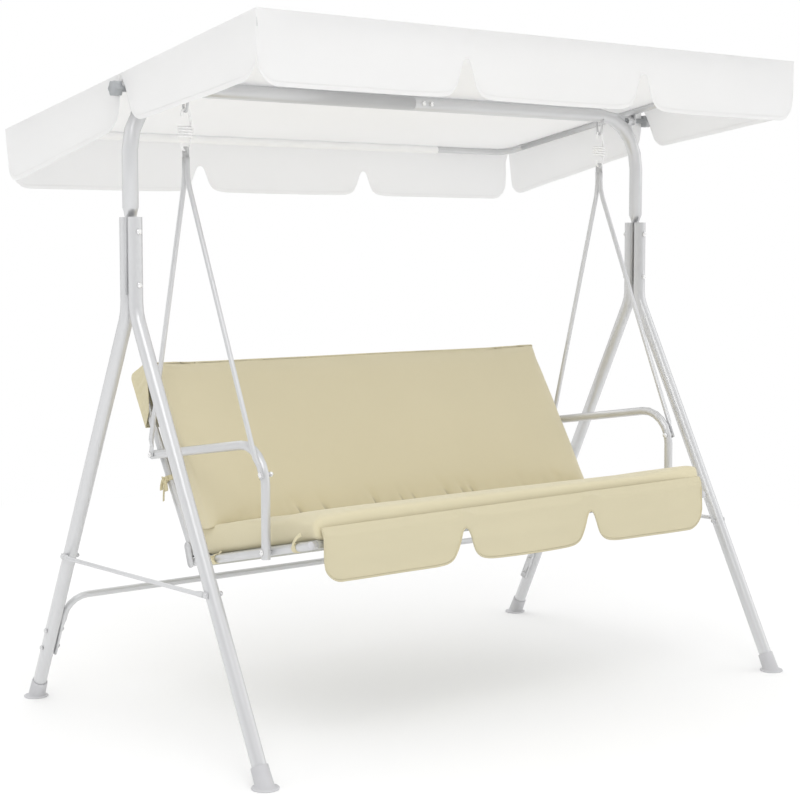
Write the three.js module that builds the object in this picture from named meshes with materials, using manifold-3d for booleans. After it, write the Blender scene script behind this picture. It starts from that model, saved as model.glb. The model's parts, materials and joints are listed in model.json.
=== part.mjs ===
import * as THREE from 'three';
import { mergeVertices } from 'three/addons/utils/BufferGeometryUtils.js';
import Module from 'manifold-3d';

// Canopy swing bench: a seat on two springs under a bent steel frame, with a tilting fabric roof.
// Millimetres, +Z up, X across the bench, the sitter faces -Y.
// The origin lies on the floor, under the middle of the frame.

// Fits and counts shared by all pieces
const fitGap = 0.3;
const cutOver = 3;
const weldStep = 0.001;
const tubeWall = 1.5;
const arcStep = Math.PI / 10;
const wideSides = 12;
const midSides = 10;
const thinSides = 8;
const boreSides = 8;

// Side frames
const frameHalfWidth = 948;
const legDiameter = 38;
const legTopHeight = 1376;
const legBendHeight = 1128;
const legBendRadius = 110;
const frontFootReach = 590;
const rearFootReach = 562;
const legEndRise = 21;
const tongueThickness = 2.4;
const tongueWidth = 36;
const tongueBottomHeight = 1175;
const tongueBlend = 24;
const legBoltHeights = [1338, 1200];

// Feet
const footFlangeDiameter = 70;
const footFlangeThickness = 5;
const footEdge = 1.2;
const footCupTopDiameter = 45;
const footCupBottomDiameter = 50;
const footCupLength = 56;

// Top bar
const barDiameter = 42;
const barHeight = 1714;
const barBendRadius = 165;
const spigotLength = 78;
const barBoltPlaces = [28, 58];

// Bolts
const boltDiameter = 8;
const boltHeadDiameter = 15;
const boltHeadHeight = 5;
const boltDomeShare = 0.6;
const nutWidth = 14;
const nutHeight = 6;
const boltTip = 3;

// Braces between the legs
const sideBraceDiameter = 12;
const sideBraceHeight = 440;
const sideBraceFlat = 3;
const sideBraceFlatWidth = 17;
const sideBraceFlatLength = 30;
const crossbarDiameter = 19;
const crossbarHeight = 312;
const crossbarEndHeight = 138;
const crossbarBendRadius = 60;
const crossbarFlat = 8;
const crossbarFlatWidth = 26;
const crossbarBoltHeights = [212, 158];
const pressBlend = 20;
const pressEdgeShare = 0.4;

// Spring eyes and springs
const eyeRodDiameter = 7;
const eyeBendRadius = 8;
const eyeSpread = 15;
const pivotHeight = 1662;
const springWire = 6;
const springMeanRadius = 17;
const springCoils = 5;
const springPitch = 7.8;
const springTopHeight = 1626;
const hookRadius = 11;
const lowerHookHeight = 1553;
const curlSteps = 8;
const gapSteps = 4;
const wireSides = 5;

// Hangers
const hangerDiameter = 14;
const hangerJoinHeight = 1478;
const hangerBendRadius = 150;
const hangerWeld = 0.8;
const hangerFlat = 3;
const hangerFlatWidth = 20;
const hangerFlatLength = 34;
const eyeHoleRadius = 5;
const eyePlateRadius = 12;
const eyePlateThickness = 6;
const rearHangHeight = 724;
const frontHangReach = 328;
const frontHangHeight = 720;

// Armrests
const armDiameter = 25;
const armSlope = 8.4;
const armBendRadius = 95;
const armLowerHeight = 501;
const armRearTail = 15;

// Seat and back frames
const railDiameter = 22;
const seatSideRoom = 214;
const railHalfWidth = frameHalfWidth - seatSideRoom;
const seatSlope = 12.1;
const backSlope = 30.6;
const elbowReach = 36;
const elbowHeight = 442;
const frontRailPlace = 527;
const rearRailPlace = 20;
const railTail = 22;
const uprightStart = 17;
const backFrameLength = 564;
const topRailLegLength = 84;
const topRailBendRadius = 60;
const sleeveLength = 30;
const gussetThickness = 3;
const gussetRadius = 14;
const rivetDiameter = 6;
const rivetHeadDiameter = 12;
const rivetHeadHeight = 2.5;
const gussetRailPlace = 10;
const gussetUprightPlace = 46;

// Fabric panels under the cushions
const slingThickness = 2;
const slingHalfWidth = railHalfWidth - railDiameter;

// Cushions
const cushionSideRoom = 24;
const cushionHalfWidth = railHalfWidth - cushionSideRoom;
const seatCushionThickness = 70;
const seatCushionReach = 560;
const backCushionThickness = 86;
const backCushionTop = 575;
const cushionCrown = 8;
const cushionDrawIn = 7;
const cushionEdgeShare = 0.62;
const cushionFlatShare = 0.32;
const cushionBulgeShare = 0.55;
const cushionFadePower = 5;
const cushionStations = 20;
const cushionRound = 20;

// Hood over the top of the back
const hoodOverhang = 15;
const hoodHalfWidth = railHalfWidth + hoodOverhang;
const hoodFlapDepth = 142;
const hoodFlapLean = 12;
const hoodThickness = 2;

// Seat skirt
const bellTipShare = 0.7;
const bellRootShare = 1.5;
const skirtSideRoom = 4;
const skirtHalfWidth = cushionHalfWidth - skirtSideRoom;
const skirtTopHeight = 612;
const skirtBottomHeight = 457;
const skirtThickness = 2.4;
const skirtNotchShare = 0.3357;
const skirtNotchPlace = skirtHalfWidth * skirtNotchShare;
const skirtNotchHeight = 552;
const skirtNotchHalfWidth = 62;
const skirtCornerRadius = 45;
const skirtFold = 3;
const skirtFoldPitch = 300;

// Canopy
const canopyPivotHeight = 1704;
const canopySlope = 9.9;
const canopyOverhang = 27;
const canopyHalfWidth = frameHalfWidth + canopyOverhang;
const canopyFrontReach = 628;
const canopyRearReach = 640;
const roofRise = 38.5;
const clothThickness = 2;
const canopyTubeDiameter = 20;
const canopySideBarInset = 45;
const canopySideBarPlace = canopyHalfWidth - canopySideBarInset;
const canopyBarInset = 31;
const canopyBendRadius = 45;
const frontValanceDepth = 177;
const frontNotchShare = 0.3333;
const frontNotchPlace = canopyHalfWidth * frontNotchShare;
const frontNotchRise = 101;
const rearValanceDepth = 166;
const rearNotchShare = 0.3282;
const rearNotchPlace = canopyHalfWidth * rearNotchShare;
const rearNotchRise = 80;
const sideValanceDepth = 146;
const sideValanceFlare = 22;
const valanceNotchHalfWidth = 70;
const valanceCornerRadius = 60;
const valanceFold = 4;
const valanceFoldPitch = 260;
const clothSlit = 4;
const lugThickness = 4;
const lugRadius = 15;
const bossRadius = 12;
const bossLength = 24;
const bracketThickness = 5;
const knobRadius = 19;
const knobLobe = 2;
const knobLobes = 6;
const lobeSteps = 4;
const knobDepth = 22;
const knobNeckRadius = 8;

// Finishes
const finish = (color, roughness, metalness) => new THREE.MeshStandardMaterial({ color, roughness, metalness });
const paint = finish(0xdedfe0, 0.38, 0.25);
const zinc = finish(0xd8d9da, 0.32, 0.85);
const springSteel = finish(0xe6e7e8, 0.3, 0.8);
const greyPlastic = finish(0xbfc1c2, 0.6, 0);
const darkPlastic = finish(0x6b6d70, 0.5, 0);
const backFabric = finish(0xcfc6a4, 0.9, 0);
const seatFabric = finish(0xdcd2af, 0.9, 0);
const slingFabric = finish(0xb9bab4, 0.9, 0);
const canopyFabric = finish(0xf3f3f3, 0.85, 0);

const bench = new THREE.Group();
const wasm = await Module();
wasm.setup();

const radians = THREE.MathUtils.degToRad;
const acrossX = new THREE.Vector3(1, 0, 0);
const alongY = new THREE.Vector3(0, 1, 0);
const upZ = new THREE.Vector3(0, 0, 1);
const at = (x, y, z) => new THREE.Vector3(x, y, z);

// A point in the plane X = x, from its reach to the back and its height
const sidePoint = (x, [reach, height]) => at(x, reach, height);

// Closed meshes: shared corners are merged, and faces that close up to a line are dropped
function closed(geometry) {
  const bare = geometry.clone();
  bare.deleteAttribute('normal');
  bare.deleteAttribute('uv');
  const merged = mergeVertices(bare, weldStep);
  const kept = [];
  const corners = merged.index.array;
  for (let i = 0; i < corners.length; i += 3) {
    const [a, b, c] = [corners[i], corners[i + 1], corners[i + 2]];
    if (a !== b && b !== c && c !== a) {
      kept.push(a, b, c);
    }
  }
  merged.setIndex(kept);
  return merged;
}

function body(geometry) {
  const merged = closed(geometry);
  return new wasm.Manifold(new wasm.Mesh({
    numProp: 3,
    vertProperties: new Float32Array(merged.attributes.position.array),
    triVerts: new Uint32Array(merged.index.array)
  }));
}

function geometryOf(solid) {
  const mesh = solid.getMesh();
  const geometry = new THREE.BufferGeometry();
  geometry.setAttribute('position', new THREE.BufferAttribute(new Float32Array(mesh.vertProperties), 3));
  geometry.setIndex(Array.from(mesh.triVerts));
  return geometry;
}

const joined = (geometries) => geometryOf(geometries.map(body).reduce((sum, next) => sum.add(next)));

function cut(geometry, cutters) {
  return geometryOf(cutters.map(body).reduce((rest, next) => rest.subtract(next), body(geometry)));
}

function addPiece(name, geometry, material, position = at(0, 0, 0), direction = upZ) {
  const mesh = new THREE.Mesh(geometry, material);
  mesh.name = name;
  mesh.position.copy(position);
  mesh.quaternion.setFromUnitVectors(upZ, direction);
  bench.add(mesh);
  return mesh;
}

// A flat path of straight runs and rounded corners, for tubes; marks are places along its end runs
class BentPath extends THREE.Curve {
  constructor(corners, planeNormal, { radius = 0, startMarks = [], endMarks = [] } = {}) {
    super();
    this.planeNormal = planeNormal;
    this.points = [];
    this.directions = [];
    const runs = corners.slice(1).map((corner, i) => corner.clone().sub(corners[i]).normalize());
    const put = (point, direction) => {
      this.points.push(point);
      this.directions.push(direction);
    };
    put(corners[0].clone(), runs[0]);
    startMarks.forEach((mark) => put(corners[0].clone().addScaledVector(runs[0], mark), runs[0]));
    for (let i = 1; i < corners.length - 1; i += 1) {
      this.turn(corners[i], runs[i - 1], runs[i], radius, put);
    }
    const last = corners[corners.length - 1];
    const lastRun = runs[runs.length - 1];
    endMarks.forEach((mark) => put(last.clone().addScaledVector(lastRun, -mark), lastRun));
    put(last.clone(), lastRun);
  }

  turn(corner, incoming, outgoing, radius, put) {
    const angle = incoming.angleTo(outgoing);
    const axis = incoming.clone().cross(outgoing).normalize();
    const start = corner.clone().addScaledVector(incoming, -radius * Math.tan(angle / 2));
    const centre = start.clone().addScaledVector(axis.clone().cross(incoming), radius);
    const steps = Math.ceil(angle / arcStep);
    for (let k = 0; k <= steps; k += 1) {
      const turned = (angle * k) / steps;
      put(start.clone().sub(centre).applyAxisAngle(axis, turned).add(centre),
        incoming.clone().applyAxisAngle(axis, turned));
    }
  }

  get steps() {
    return this.points.length - 1;
  }

  getSpacedPoints() {
    return this.points.map((point) => point.clone());
  }

  computeFrenetFrames() {
    return {
      tangents: this.directions,
      normals: this.directions.map((direction) => this.planeNormal.clone().cross(direction)),
      binormals: this.directions.map(() => this.planeNormal)
    };
  }
}

function ringPoints(radius, sides) {
  return Array.from({ length: sides }, (_, i) => {
    const angle = (2 * Math.PI * i) / sides;
    return new THREE.Vector2(radius * Math.cos(angle), radius * Math.sin(angle));
  });
}

// A tube along a path; an inner radius leaves its bore open at both ends
function tube(path, outerRadius, sides, innerRadius = 0) {
  const section = new THREE.Shape(ringPoints(outerRadius, sides));
  if (innerRadius > 0) {
    section.holes.push(new THREE.Path(ringPoints(innerRadius, boreSides).reverse()));
  }
  return closed(new THREE.ExtrudeGeometry(section, { steps: path.steps, extrudePath: path }));
}

// A round bar between two points
function rod(from, to, radius, sides = thinSides, endRadius = radius) {
  const geometry = new THREE.CylinderGeometry(endRadius, radius, from.distanceTo(to), sides);
  geometry.applyQuaternion(new THREE.Quaternion().setFromUnitVectors(alongY, to.clone().sub(from).normalize()));
  geometry.translate(...from.clone().add(to).multiplyScalar(1 / 2).toArray());
  return geometry;
}

// The end of a tube pressed flat: its flat is width wide, thickness thick, and lies offset off the axis
function pressEnd(geometry, { end, inward, flatNormal, radius, thickness, width, length, blend, offset = 0 }) {
  const across = inward.clone().cross(flatNormal);
  const places = geometry.attributes.position;
  const point = new THREE.Vector3();
  for (let i = 0; i < places.count; i += 1) {
    point.fromBufferAttribute(places, i).sub(end);
    const along = point.dot(inward);
    const side = point.dot(across);
    const rise = point.dot(flatNormal);
    if (along < length + blend && Math.hypot(side, rise) < 2 * radius) {
      const pressed = 1 - THREE.MathUtils.smoothstep(along, length, length + blend);
      const flatRise = (thickness / 2) * THREE.MathUtils.clamp(rise / (pressEdgeShare * radius), -1, 1) + offset;
      const newSide = THREE.MathUtils.lerp(side, (side / radius) * (width / 2), pressed);
      const newRise = THREE.MathUtils.lerp(rise, flatRise, pressed);
      point.copy(end).addScaledVector(inward, along).addScaledVector(across, newSide);
      point.addScaledVector(flatNormal, newRise);
      places.setXYZ(i, point.x, point.y, point.z);
    }
  }
  return geometry;
}

const pressMarks = (length, blend) => [length, length + blend / 2, length + blend];

// A domed bolt with its nut, along +Z, its head seated at z = 0 and its nut beyond the grip
function boltGeometry(grip) {
  const shaft = boltDiameter / 2;
  const head = boltHeadDiameter / 2;
  const profile = [
    [0, -boltHeadHeight],
    [head * boltDomeShare, -boltHeadHeight],
    [head, -boltHeadHeight / 2],
    [head, 0],
    [shaft, 0],
    [shaft, grip + nutHeight + boltTip],
    [0, grip + nutHeight + boltTip]
  ].map(([radius, along]) => new THREE.Vector2(radius, along));
  const turned = new THREE.LatheGeometry(profile, thinSides);
  turned.rotateX(Math.PI / 2);
  const nut = new THREE.CylinderGeometry(nutWidth / 2, nutWidth / 2, nutHeight, 6);
  nut.rotateX(Math.PI / 2);
  nut.translate(0, 0, grip + nutHeight / 2);
  return joined([turned, nut]);
}

// The same bolt set through a stack from one point to another, with a gap under head and nut
function placedBolt(from, to) {
  const direction = to.clone().sub(from).normalize();
  const geometry = boltGeometry(from.distanceTo(to) + 2 * fitGap);
  geometry.applyQuaternion(new THREE.Quaternion().setFromUnitVectors(upZ, direction));
  geometry.translate(...from.clone().addScaledVector(direction, -fitGap).toArray());
  return geometry;
}

const boltHole = boltDiameter / 2 + fitGap;
const turnHole = boltHole / Math.cos(Math.PI / thinSides);
const holeAlongY = (x, z, halfDepth) => rod(at(x, -halfDepth, z), at(x, halfDepth, z), boltHole);
const sides = [['left', -1], ['right', 1]];

// Legs: two bent tubes a side, pinched on the post's tongue and bolted through along Y
const legRadius = legDiameter / 2;
const legOffset = legRadius + tongueThickness / 2 + fitGap;
const legPlace = (reach, height) => legOffset + ((reach - legOffset) * (legBendHeight - height)) / legBendHeight;
const frontLegPlace = (height) => -legPlace(frontFootReach, height);
const rearLegPlace = (height) => legPlace(rearFootReach, height);
const frameOuter = frameHalfWidth + legRadius;
const frameInner = frameHalfWidth - legRadius;

function legGeometry(side, facing, reach, crossHoles) {
  const x = side * frameHalfWidth;
  const bend = at(x, facing * legOffset, legBendHeight);
  const upTheLeg = bend.clone().sub(at(x, facing * reach, 0)).normalize();
  const path = new BentPath([
    at(x, facing * legOffset, legTopHeight),
    bend,
    at(x, facing * reach, 0).addScaledVector(upTheLeg, legEndRise)
  ], acrossX, { radius: legBendRadius });
  const holes = legBoltHeights.map((height) => holeAlongY(x, height, legDiameter + legOffset));
  crossHoles.forEach(([reachThere, height]) => {
    holes.push(rod(at(side * (frameInner - cutOver), reachThere, height),
      at(side * (frameOuter + cutOver), reachThere, height), boltHole));
  });
  return cut(tube(path, legRadius, wideSides, legRadius - tubeWall), holes);
}

sides.forEach(([label, side]) => {
  const braceFront = [frontLegPlace(sideBraceHeight), sideBraceHeight];
  const braceRear = [rearLegPlace(sideBraceHeight), sideBraceHeight];
  const crossbarBolts = crossbarBoltHeights.map((height) => [rearLegPlace(height), height]);
  addPiece(`front_leg_${label}`, legGeometry(side, -1, frontFootReach, [braceFront]), paint);
  addPiece(`rear_leg_${label}`, legGeometry(side, 1, rearFootReach, [braceRear, ...crossbarBolts]), paint);
});

// Feet: a slanted cup on each leg with a round flange flat on the floor
function footGeometry(side, facing, reach) {
  const x = side * frameHalfWidth;
  const foot = at(x, facing * reach, 0);
  const upTheLeg = at(x, facing * legOffset, legBendHeight).sub(foot).normalize();
  const below = foot.clone().addScaledVector(upTheLeg, -footCupBottomDiameter);
  const cup = rod(below, foot.clone().addScaledVector(upTheLeg, footCupLength),
    footCupBottomDiameter / 2, wideSides, footCupTopDiameter / 2);
  const flangeRadius = footFlangeDiameter / 2;
  const profile = [
    [0, 0],
    [flangeRadius - footEdge, 0],
    [flangeRadius, footEdge],
    [flangeRadius, footFlangeThickness - footEdge],
    [flangeRadius - footEdge, footFlangeThickness],
    [0, footFlangeThickness]
  ].map(([radius, height]) => new THREE.Vector2(radius, height));
  const flange = new THREE.LatheGeometry(profile, wideSides);
  flange.rotateX(Math.PI / 2);
  flange.translate(foot.x, foot.y, 0);
  const boreStart = foot.clone().addScaledVector(upTheLeg, legEndRise - fitGap);
  const bore = rod(boreStart, foot.clone().addScaledVector(upTheLeg, footCupLength + cutOver),
    legRadius + fitGap, wideSides);
  const floorBlock = new THREE.BoxGeometry(footFlangeDiameter * 2, footFlangeDiameter * 2, footFlangeDiameter * 2);
  floorBlock.translate(foot.x, foot.y, -footFlangeDiameter);
  return cut(joined([cup, flange]), [bore, floorBlock]);
}

sides.forEach(([label, side]) => {
  addPiece(`foot_cap_front_${label}`, footGeometry(side, -1, frontFootReach), greyPlastic);
  addPiece(`foot_cap_rear_${label}`, footGeometry(side, 1, rearFootReach), greyPlastic);
});

// Top bar: two bent halves; the left one ends in a spigot inside the right one
const barRadius = barDiameter / 2;
const barBore = barRadius - tubeWall;
const spigotRadius = barBore - fitGap;
const tongueFlatLength = legTopHeight - tongueBottomHeight + fitGap;

function barOuter(side, start) {
  const post = at(side * frameHalfWidth, 0, tongueBottomHeight);
  const path = new BentPath([at(start, 0, barHeight), at(post.x, 0, barHeight), post], alongY, {
    radius: barBendRadius,
    endMarks: pressMarks(tongueFlatLength, tongueBlend).reverse()
  });
  return pressEnd(tube(path, barRadius, wideSides), {
    end: post,
    inward: upZ,
    flatNormal: alongY,
    radius: barRadius,
    thickness: tongueThickness,
    width: tongueWidth,
    length: tongueFlatLength,
    blend: tongueBlend
  });
}

function barBoreCutter(side, start, radius) {
  const foot = at(side * frameHalfWidth, 0, legTopHeight + 2 * tongueBlend);
  const path = new BentPath([at(start, 0, barHeight), at(foot.x, 0, barHeight), foot], alongY,
    { radius: barBendRadius });
  return tube(path, radius, boreSides);
}

const tongueHoles = (side) => legBoltHeights.map((height) => (
  holeAlongY(side * frameHalfWidth, height, tongueWidth)));
const barHoles = barBoltPlaces.map((place) => holeAlongY(place, barHeight, barDiameter));
const spigot = rod(at(-barRadius, 0, barHeight), at(spigotLength, 0, barHeight), spigotRadius, wideSides);
addPiece('top_bar_left', cut(joined([barOuter(-1, -fitGap / 2), spigot]), [
  barBoreCutter(-1, spigotLength + cutOver, spigotRadius - tubeWall),
  ...tongueHoles(-1),
  ...barHoles
]), paint);
addPiece('top_bar_right', cut(barOuter(1, fitGap / 2), [
  rod(at(-cutOver, 0, barHeight), at(spigotLength + cutOver, 0, barHeight), barBore, wideSides),
  barBoreCutter(1, spigotLength, spigotRadius - tubeWall),
  ...tongueHoles(1),
  ...barHoles
]), paint);

['inner', 'outer'].forEach((label, i) => {
  const place = at(barBoltPlaces[i], -barRadius - fitGap, barHeight);
  addPiece(`bar_bolt_${label}`, boltGeometry(barDiameter + 2 * fitGap), zinc, place, alongY);
});
sides.forEach(([label, side]) => {
  ['upper', 'lower'].forEach((row, i) => {
    const place = at(side * frameHalfWidth, -legOffset - legRadius - fitGap, legBoltHeights[i]);
    const grip = 2 * (legOffset + legRadius + fitGap);
    addPiece(`leg_bolt_${row}_${label}`, boltGeometry(grip), zinc, place, alongY);
  });
});

// Side braces: thin tubes pressed flat at their bolts, outside the legs
const braceRadius = sideBraceDiameter / 2;

sides.forEach(([label, side]) => {
  const x = side * (frameOuter + fitGap + braceRadius);
  const tail = sideBraceFlatWidth / 2;
  const ends = [frontLegPlace(sideBraceHeight) - tail, rearLegPlace(sideBraceHeight) + tail];
  const marks = pressMarks(sideBraceFlatLength, pressBlend);
  const corners = ends.map((y) => at(x, y, sideBraceHeight));
  const bar = tube(new BentPath(corners, acrossX, { startMarks: marks, endMarks: marks.slice().reverse() }),
    braceRadius, midSides);
  corners.forEach((end, i) => pressEnd(bar, {
    end,
    inward: i === 0 ? alongY : alongY.clone().negate(),
    flatNormal: acrossX.clone().multiplyScalar(-side),
    radius: braceRadius,
    thickness: sideBraceFlat,
    width: sideBraceFlatWidth,
    length: sideBraceFlatLength,
    blend: pressBlend,
    offset: braceRadius - sideBraceFlat / 2
  }));
  const bolts = [frontLegPlace(sideBraceHeight), rearLegPlace(sideBraceHeight)].map((y) => (
    placedBolt(at(side * (frameOuter + fitGap + sideBraceFlat - fitGap), y, sideBraceHeight),
      at(side * frameInner, y, sideBraceHeight))));
  addPiece(`side_brace_${label}`, joined([bar, ...bolts]), paint);
});

// Rear crossbar: its ends turn down along the rear legs and are pressed and bolted to them
const crossbarRadius = crossbarDiameter / 2;
const crossbarX = frameInner - fitGap - crossbarRadius;
const rearLegRise = at(0, rearLegPlace(0) - rearLegPlace(legBendHeight), -legBendHeight).normalize();
const crossbarCorner = (side, height) => at(side * crossbarX, rearLegPlace(height), height);
const crossbarFlatLength = (crossbarBoltHeights[0] - crossbarEndHeight) / -rearLegRise.z + crossbarFlatWidth / 2;
const crossbarMarks = pressMarks(crossbarFlatLength, pressBlend);
const crossbarPath = new BentPath([
  crossbarCorner(-1, crossbarEndHeight),
  crossbarCorner(-1, crossbarHeight),
  crossbarCorner(1, crossbarHeight),
  crossbarCorner(1, crossbarEndHeight)
], acrossX.clone().cross(rearLegRise).normalize(), {
  radius: crossbarBendRadius,
  startMarks: crossbarMarks,
  endMarks: crossbarMarks.slice().reverse()
});
const crossbar = tube(crossbarPath, crossbarRadius, midSides);
const crossbarBolts = [];
sides.forEach(([, side]) => {
  pressEnd(crossbar, {
    end: crossbarCorner(side, crossbarEndHeight),
    inward: rearLegRise.clone().negate(),
    flatNormal: acrossX.clone().multiplyScalar(side),
    radius: crossbarRadius,
    thickness: crossbarFlat,
    width: crossbarFlatWidth,
    length: crossbarFlatLength,
    blend: pressBlend,
    offset: crossbarRadius - crossbarFlat / 2
  });
  crossbarBoltHeights.forEach((height) => {
    crossbarBolts.push(placedBolt(at(side * frameOuter, rearLegPlace(height), height),
      at(side * (frameInner - crossbarFlat), rearLegPlace(height), height)));
  });
});
addPiece('rear_crossbar', joined([crossbar, ...crossbarBolts]), paint);

// Spring eyes: V-shaped rods under the bar
const armRadius = armDiameter / 2;
const railRadius = railDiameter / 2;
const hangerRadius = hangerDiameter / 2;
const armX = railHalfWidth + railRadius + fitGap + armRadius;
const springX = armX + armRadius + fitGap + hangerRadius;
const eyeTop = barHeight - barRadius / 2;
const eyeSlant = Math.atan2(eyeSpread, eyeTop - pivotHeight)
  - Math.asin(eyeBendRadius / Math.hypot(eyeSpread, eyeTop - pivotHeight));
const eyeCorner = pivotHeight - eyeBendRadius / Math.sin(eyeSlant);

sides.forEach(([label, side]) => {
  const x = side * springX;
  const path = new BentPath([at(x, eyeSpread, eyeTop), at(x, 0, eyeCorner), at(x, -eyeSpread, eyeTop)], acrossX,
    { radius: eyeBendRadius });
  const barClear = rod(at(x - eyeSpread, 0, barHeight), at(x + eyeSpread, 0, barHeight),
    barRadius + fitGap, wideSides * 2);
  addPiece(`spring_eye_${label}`, cut(tube(path, eyeRodDiameter / 2, thinSides), [barClear]), paint);
});

// Springs: one wire from the upper hook through the coils to the lower hook
const wireRadius = springWire / 2;
const upperHookTop = pivotHeight - eyeBendRadius + eyeRodDiameter / 2 + wireRadius + fitGap;
const springBottomHeight = springTopHeight - springCoils * springPitch;

class WirePath extends THREE.Curve {
  constructor(points) {
    super();
    this.points = points;
  }

  get steps() {
    return this.points.length - 1;
  }

  getSpacedPoints() {
    return this.points.map((point) => point.clone());
  }

  getTangentAt(share) {
    const i = Math.round(share * this.steps);
    const before = this.points[Math.max(i - 1, 0)];
    const after = this.points[Math.min(i + 1, this.steps)];
    return after.clone().sub(before).normalize();
  }
}

// A hook's arch in the XZ plane, from its open tip to the run down to the coil
function hookPoints(archHeight, tail, upward) {
  const points = [at(-hookRadius, 0, archHeight - upward * tail)];
  for (let k = 0; k <= curlSteps; k += 1) {
    const angle = Math.PI * (1 - k / curlSteps);
    points.push(at(hookRadius * Math.cos(angle), 0, archHeight + upward * hookRadius * Math.sin(angle)));
  }
  return points;
}

function springPoints() {
  const upper = hookPoints(upperHookTop - hookRadius, hookRadius / 2, 1);
  const lower = hookPoints(lowerHookHeight + hookRadius, hookRadius / 2, -1).reverse();
  const coil = [];
  for (let k = 0; k <= springCoils * curlSteps; k += 1) {
    const angle = (2 * Math.PI * k) / curlSteps;
    const height = springTopHeight - (springPitch * k) / curlSteps;
    coil.push(at(springMeanRadius * Math.cos(angle), springMeanRadius * Math.sin(angle), height));
  }
  return [...upper, ...coil, ...lower];
}

// The least gap of the wire to itself, between stretches that aren't neighbours along it
function leastSelfGap(points, wire) {
  const dense = [];
  points.slice(1).forEach((point, i) => {
    for (let k = 0; k < gapSteps; k += 1) {
      dense.push(points[i].clone().lerp(point, k / gapSteps));
    }
  });
  let least = Infinity;
  dense.forEach((point, i) => {
    let travelled = 0;
    for (let j = i + 1; j < dense.length; j += 1) {
      travelled += dense[j].distanceTo(dense[j - 1]);
      if (travelled > 3 * wire) {
        least = Math.min(least, point.distanceTo(dense[j]) - wire);
      }
    }
  });
  return least;
}

const springRoute = springPoints();
console.log(`spring wire: least gap to itself ${leastSelfGap(springRoute, springWire).toFixed(2)} mm`);
sides.forEach(([label, side]) => {
  const path = new WirePath(springRoute);
  addPiece(`spring_${label}`, tube(path, wireRadius, wireSides), springSteel, at(side * springX, 0, 0));
});

// Places on the seat and the back, in the plane of a side: reach to the back and height
const elbow = [elbowReach, elbowHeight];
const seatForward = [-Math.cos(radians(seatSlope)), Math.sin(radians(seatSlope))];
const seatUp = [Math.sin(radians(seatSlope)), Math.cos(radians(seatSlope))];
const backUp = [Math.sin(radians(backSlope)), Math.cos(radians(backSlope))];
const backRear = [Math.cos(radians(backSlope)), -Math.sin(radians(backSlope))];
const blendOf = (along, share, across, rise) => elbow.map((start, i) => start + along[i] * share + across[i] * rise);
// Places on the seat: forward of the elbow and above the rails' axes
const onSeat = (forward, rise = 0) => blendOf(seatForward, forward, seatUp, rise);
// Places on the back: up from the elbow and behind the uprights' axes
const onBack = (up, behind = 0) => blendOf(backUp, up, backRear, behind);
const seatForwardAt = (reach) => (elbowReach - reach) / Math.cos(radians(seatSlope));
const backUpAt = (height) => (height - elbowHeight) / Math.cos(radians(backSlope));

// Hangers: two tubes that run together under the eye and spread to the bolts
const hangerFlatX = armX + armRadius + fitGap;
const hookSag = (eyePlateThickness / 2) * Math.tan(Math.PI / (2 * curlSteps));
const eyeHoleHeight = lowerHookHeight + wireRadius + hookSag + fitGap - eyeHoleRadius;
const eyeHoleCorner = eyeHoleRadius / Math.cos(Math.PI / wideSides);
const hangerJoinOffset = hangerRadius - hangerWeld;
const hangerTopHeight = eyeHoleHeight - eyeHoleRadius - eyePlateRadius;

function hangerArm(side, reach, height) {
  const facing = Math.sign(reach);
  const x = side * springX;
  const join = at(x, facing * hangerJoinOffset, hangerJoinHeight);
  const bolt = at(x, reach, height);
  const downTheArm = bolt.clone().sub(join).normalize();
  const end = bolt.clone().addScaledVector(downTheArm, hangerFlatWidth / 2);
  const marks = pressMarks(hangerFlatLength, pressBlend).reverse();
  const path = new BentPath([at(x, facing * hangerJoinOffset, hangerTopHeight), join, end], acrossX,
    { radius: hangerBendRadius, endMarks: marks });
  return pressEnd(tube(path, hangerRadius, midSides), {
    end,
    inward: downTheArm.clone().negate(),
    flatNormal: acrossX.clone().multiplyScalar(-side),
    radius: hangerRadius,
    thickness: hangerFlat,
    width: hangerFlatWidth,
    length: hangerFlatLength,
    blend: pressBlend,
    offset: hangerRadius - hangerFlat / 2
  });
}

// A plate in the YZ plane, extruded along X from x
function sidePlate(outline, x, thickness) {
  const geometry = new THREE.ExtrudeGeometry(outline, { depth: thickness, bevelEnabled: false, curveSegments: 4 });
  const turned = new THREE.Matrix4().makeBasis(alongY, upZ, acrossX);
  geometry.applyMatrix4(turned);
  geometry.translate(x, 0, 0);
  return geometry;
}

function eyePlate(side) {
  const outline = new THREE.Shape();
  const foot = hangerTopHeight - eyePlateRadius;
  outline.absarc(0, eyeHoleHeight, eyePlateRadius, 0, Math.PI, false);
  outline.lineTo(-eyePlateRadius, foot);
  outline.lineTo(eyePlateRadius, foot);
  return sidePlate(outline, side * springX - eyePlateThickness / 2, eyePlateThickness);
}

const frontHang = [-frontHangReach, frontHangHeight];
const rearHang = onBack(backUpAt(rearHangHeight));
const armRailBolt = onSeat(seatForwardAt(-frontHangReach));

sides.forEach(([label, side]) => {
  const arms = [frontHang, rearHang].map(([reach, height]) => hangerArm(side, reach, height));
  const acrossAt = (x, [reach, height]) => at(side * x, reach, height);
  const holes = [frontHang, rearHang].map((place) => (
    rod(acrossAt(hangerFlatX - cutOver, place), acrossAt(hangerFlatX + hangerFlat + cutOver, place), boltHole)));
  const eyeHole = rod(at(side * springX - eyePlateThickness, 0, eyeHoleHeight),
    at(side * springX + eyePlateThickness, 0, eyeHoleHeight), eyeHoleCorner, wideSides);
  addPiece(`hanger_${label}`, cut(joined([eyePlate(side), ...arms]), [eyeHole, ...holes]), paint);
});

// Armrests: a bent tube from the back upright over to the seat rail
const armRise = Math.tan(radians(armSlope));
const armCornerHeight = rearHangHeight + (rearHang[0] + frontHangReach) * armRise;

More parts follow.
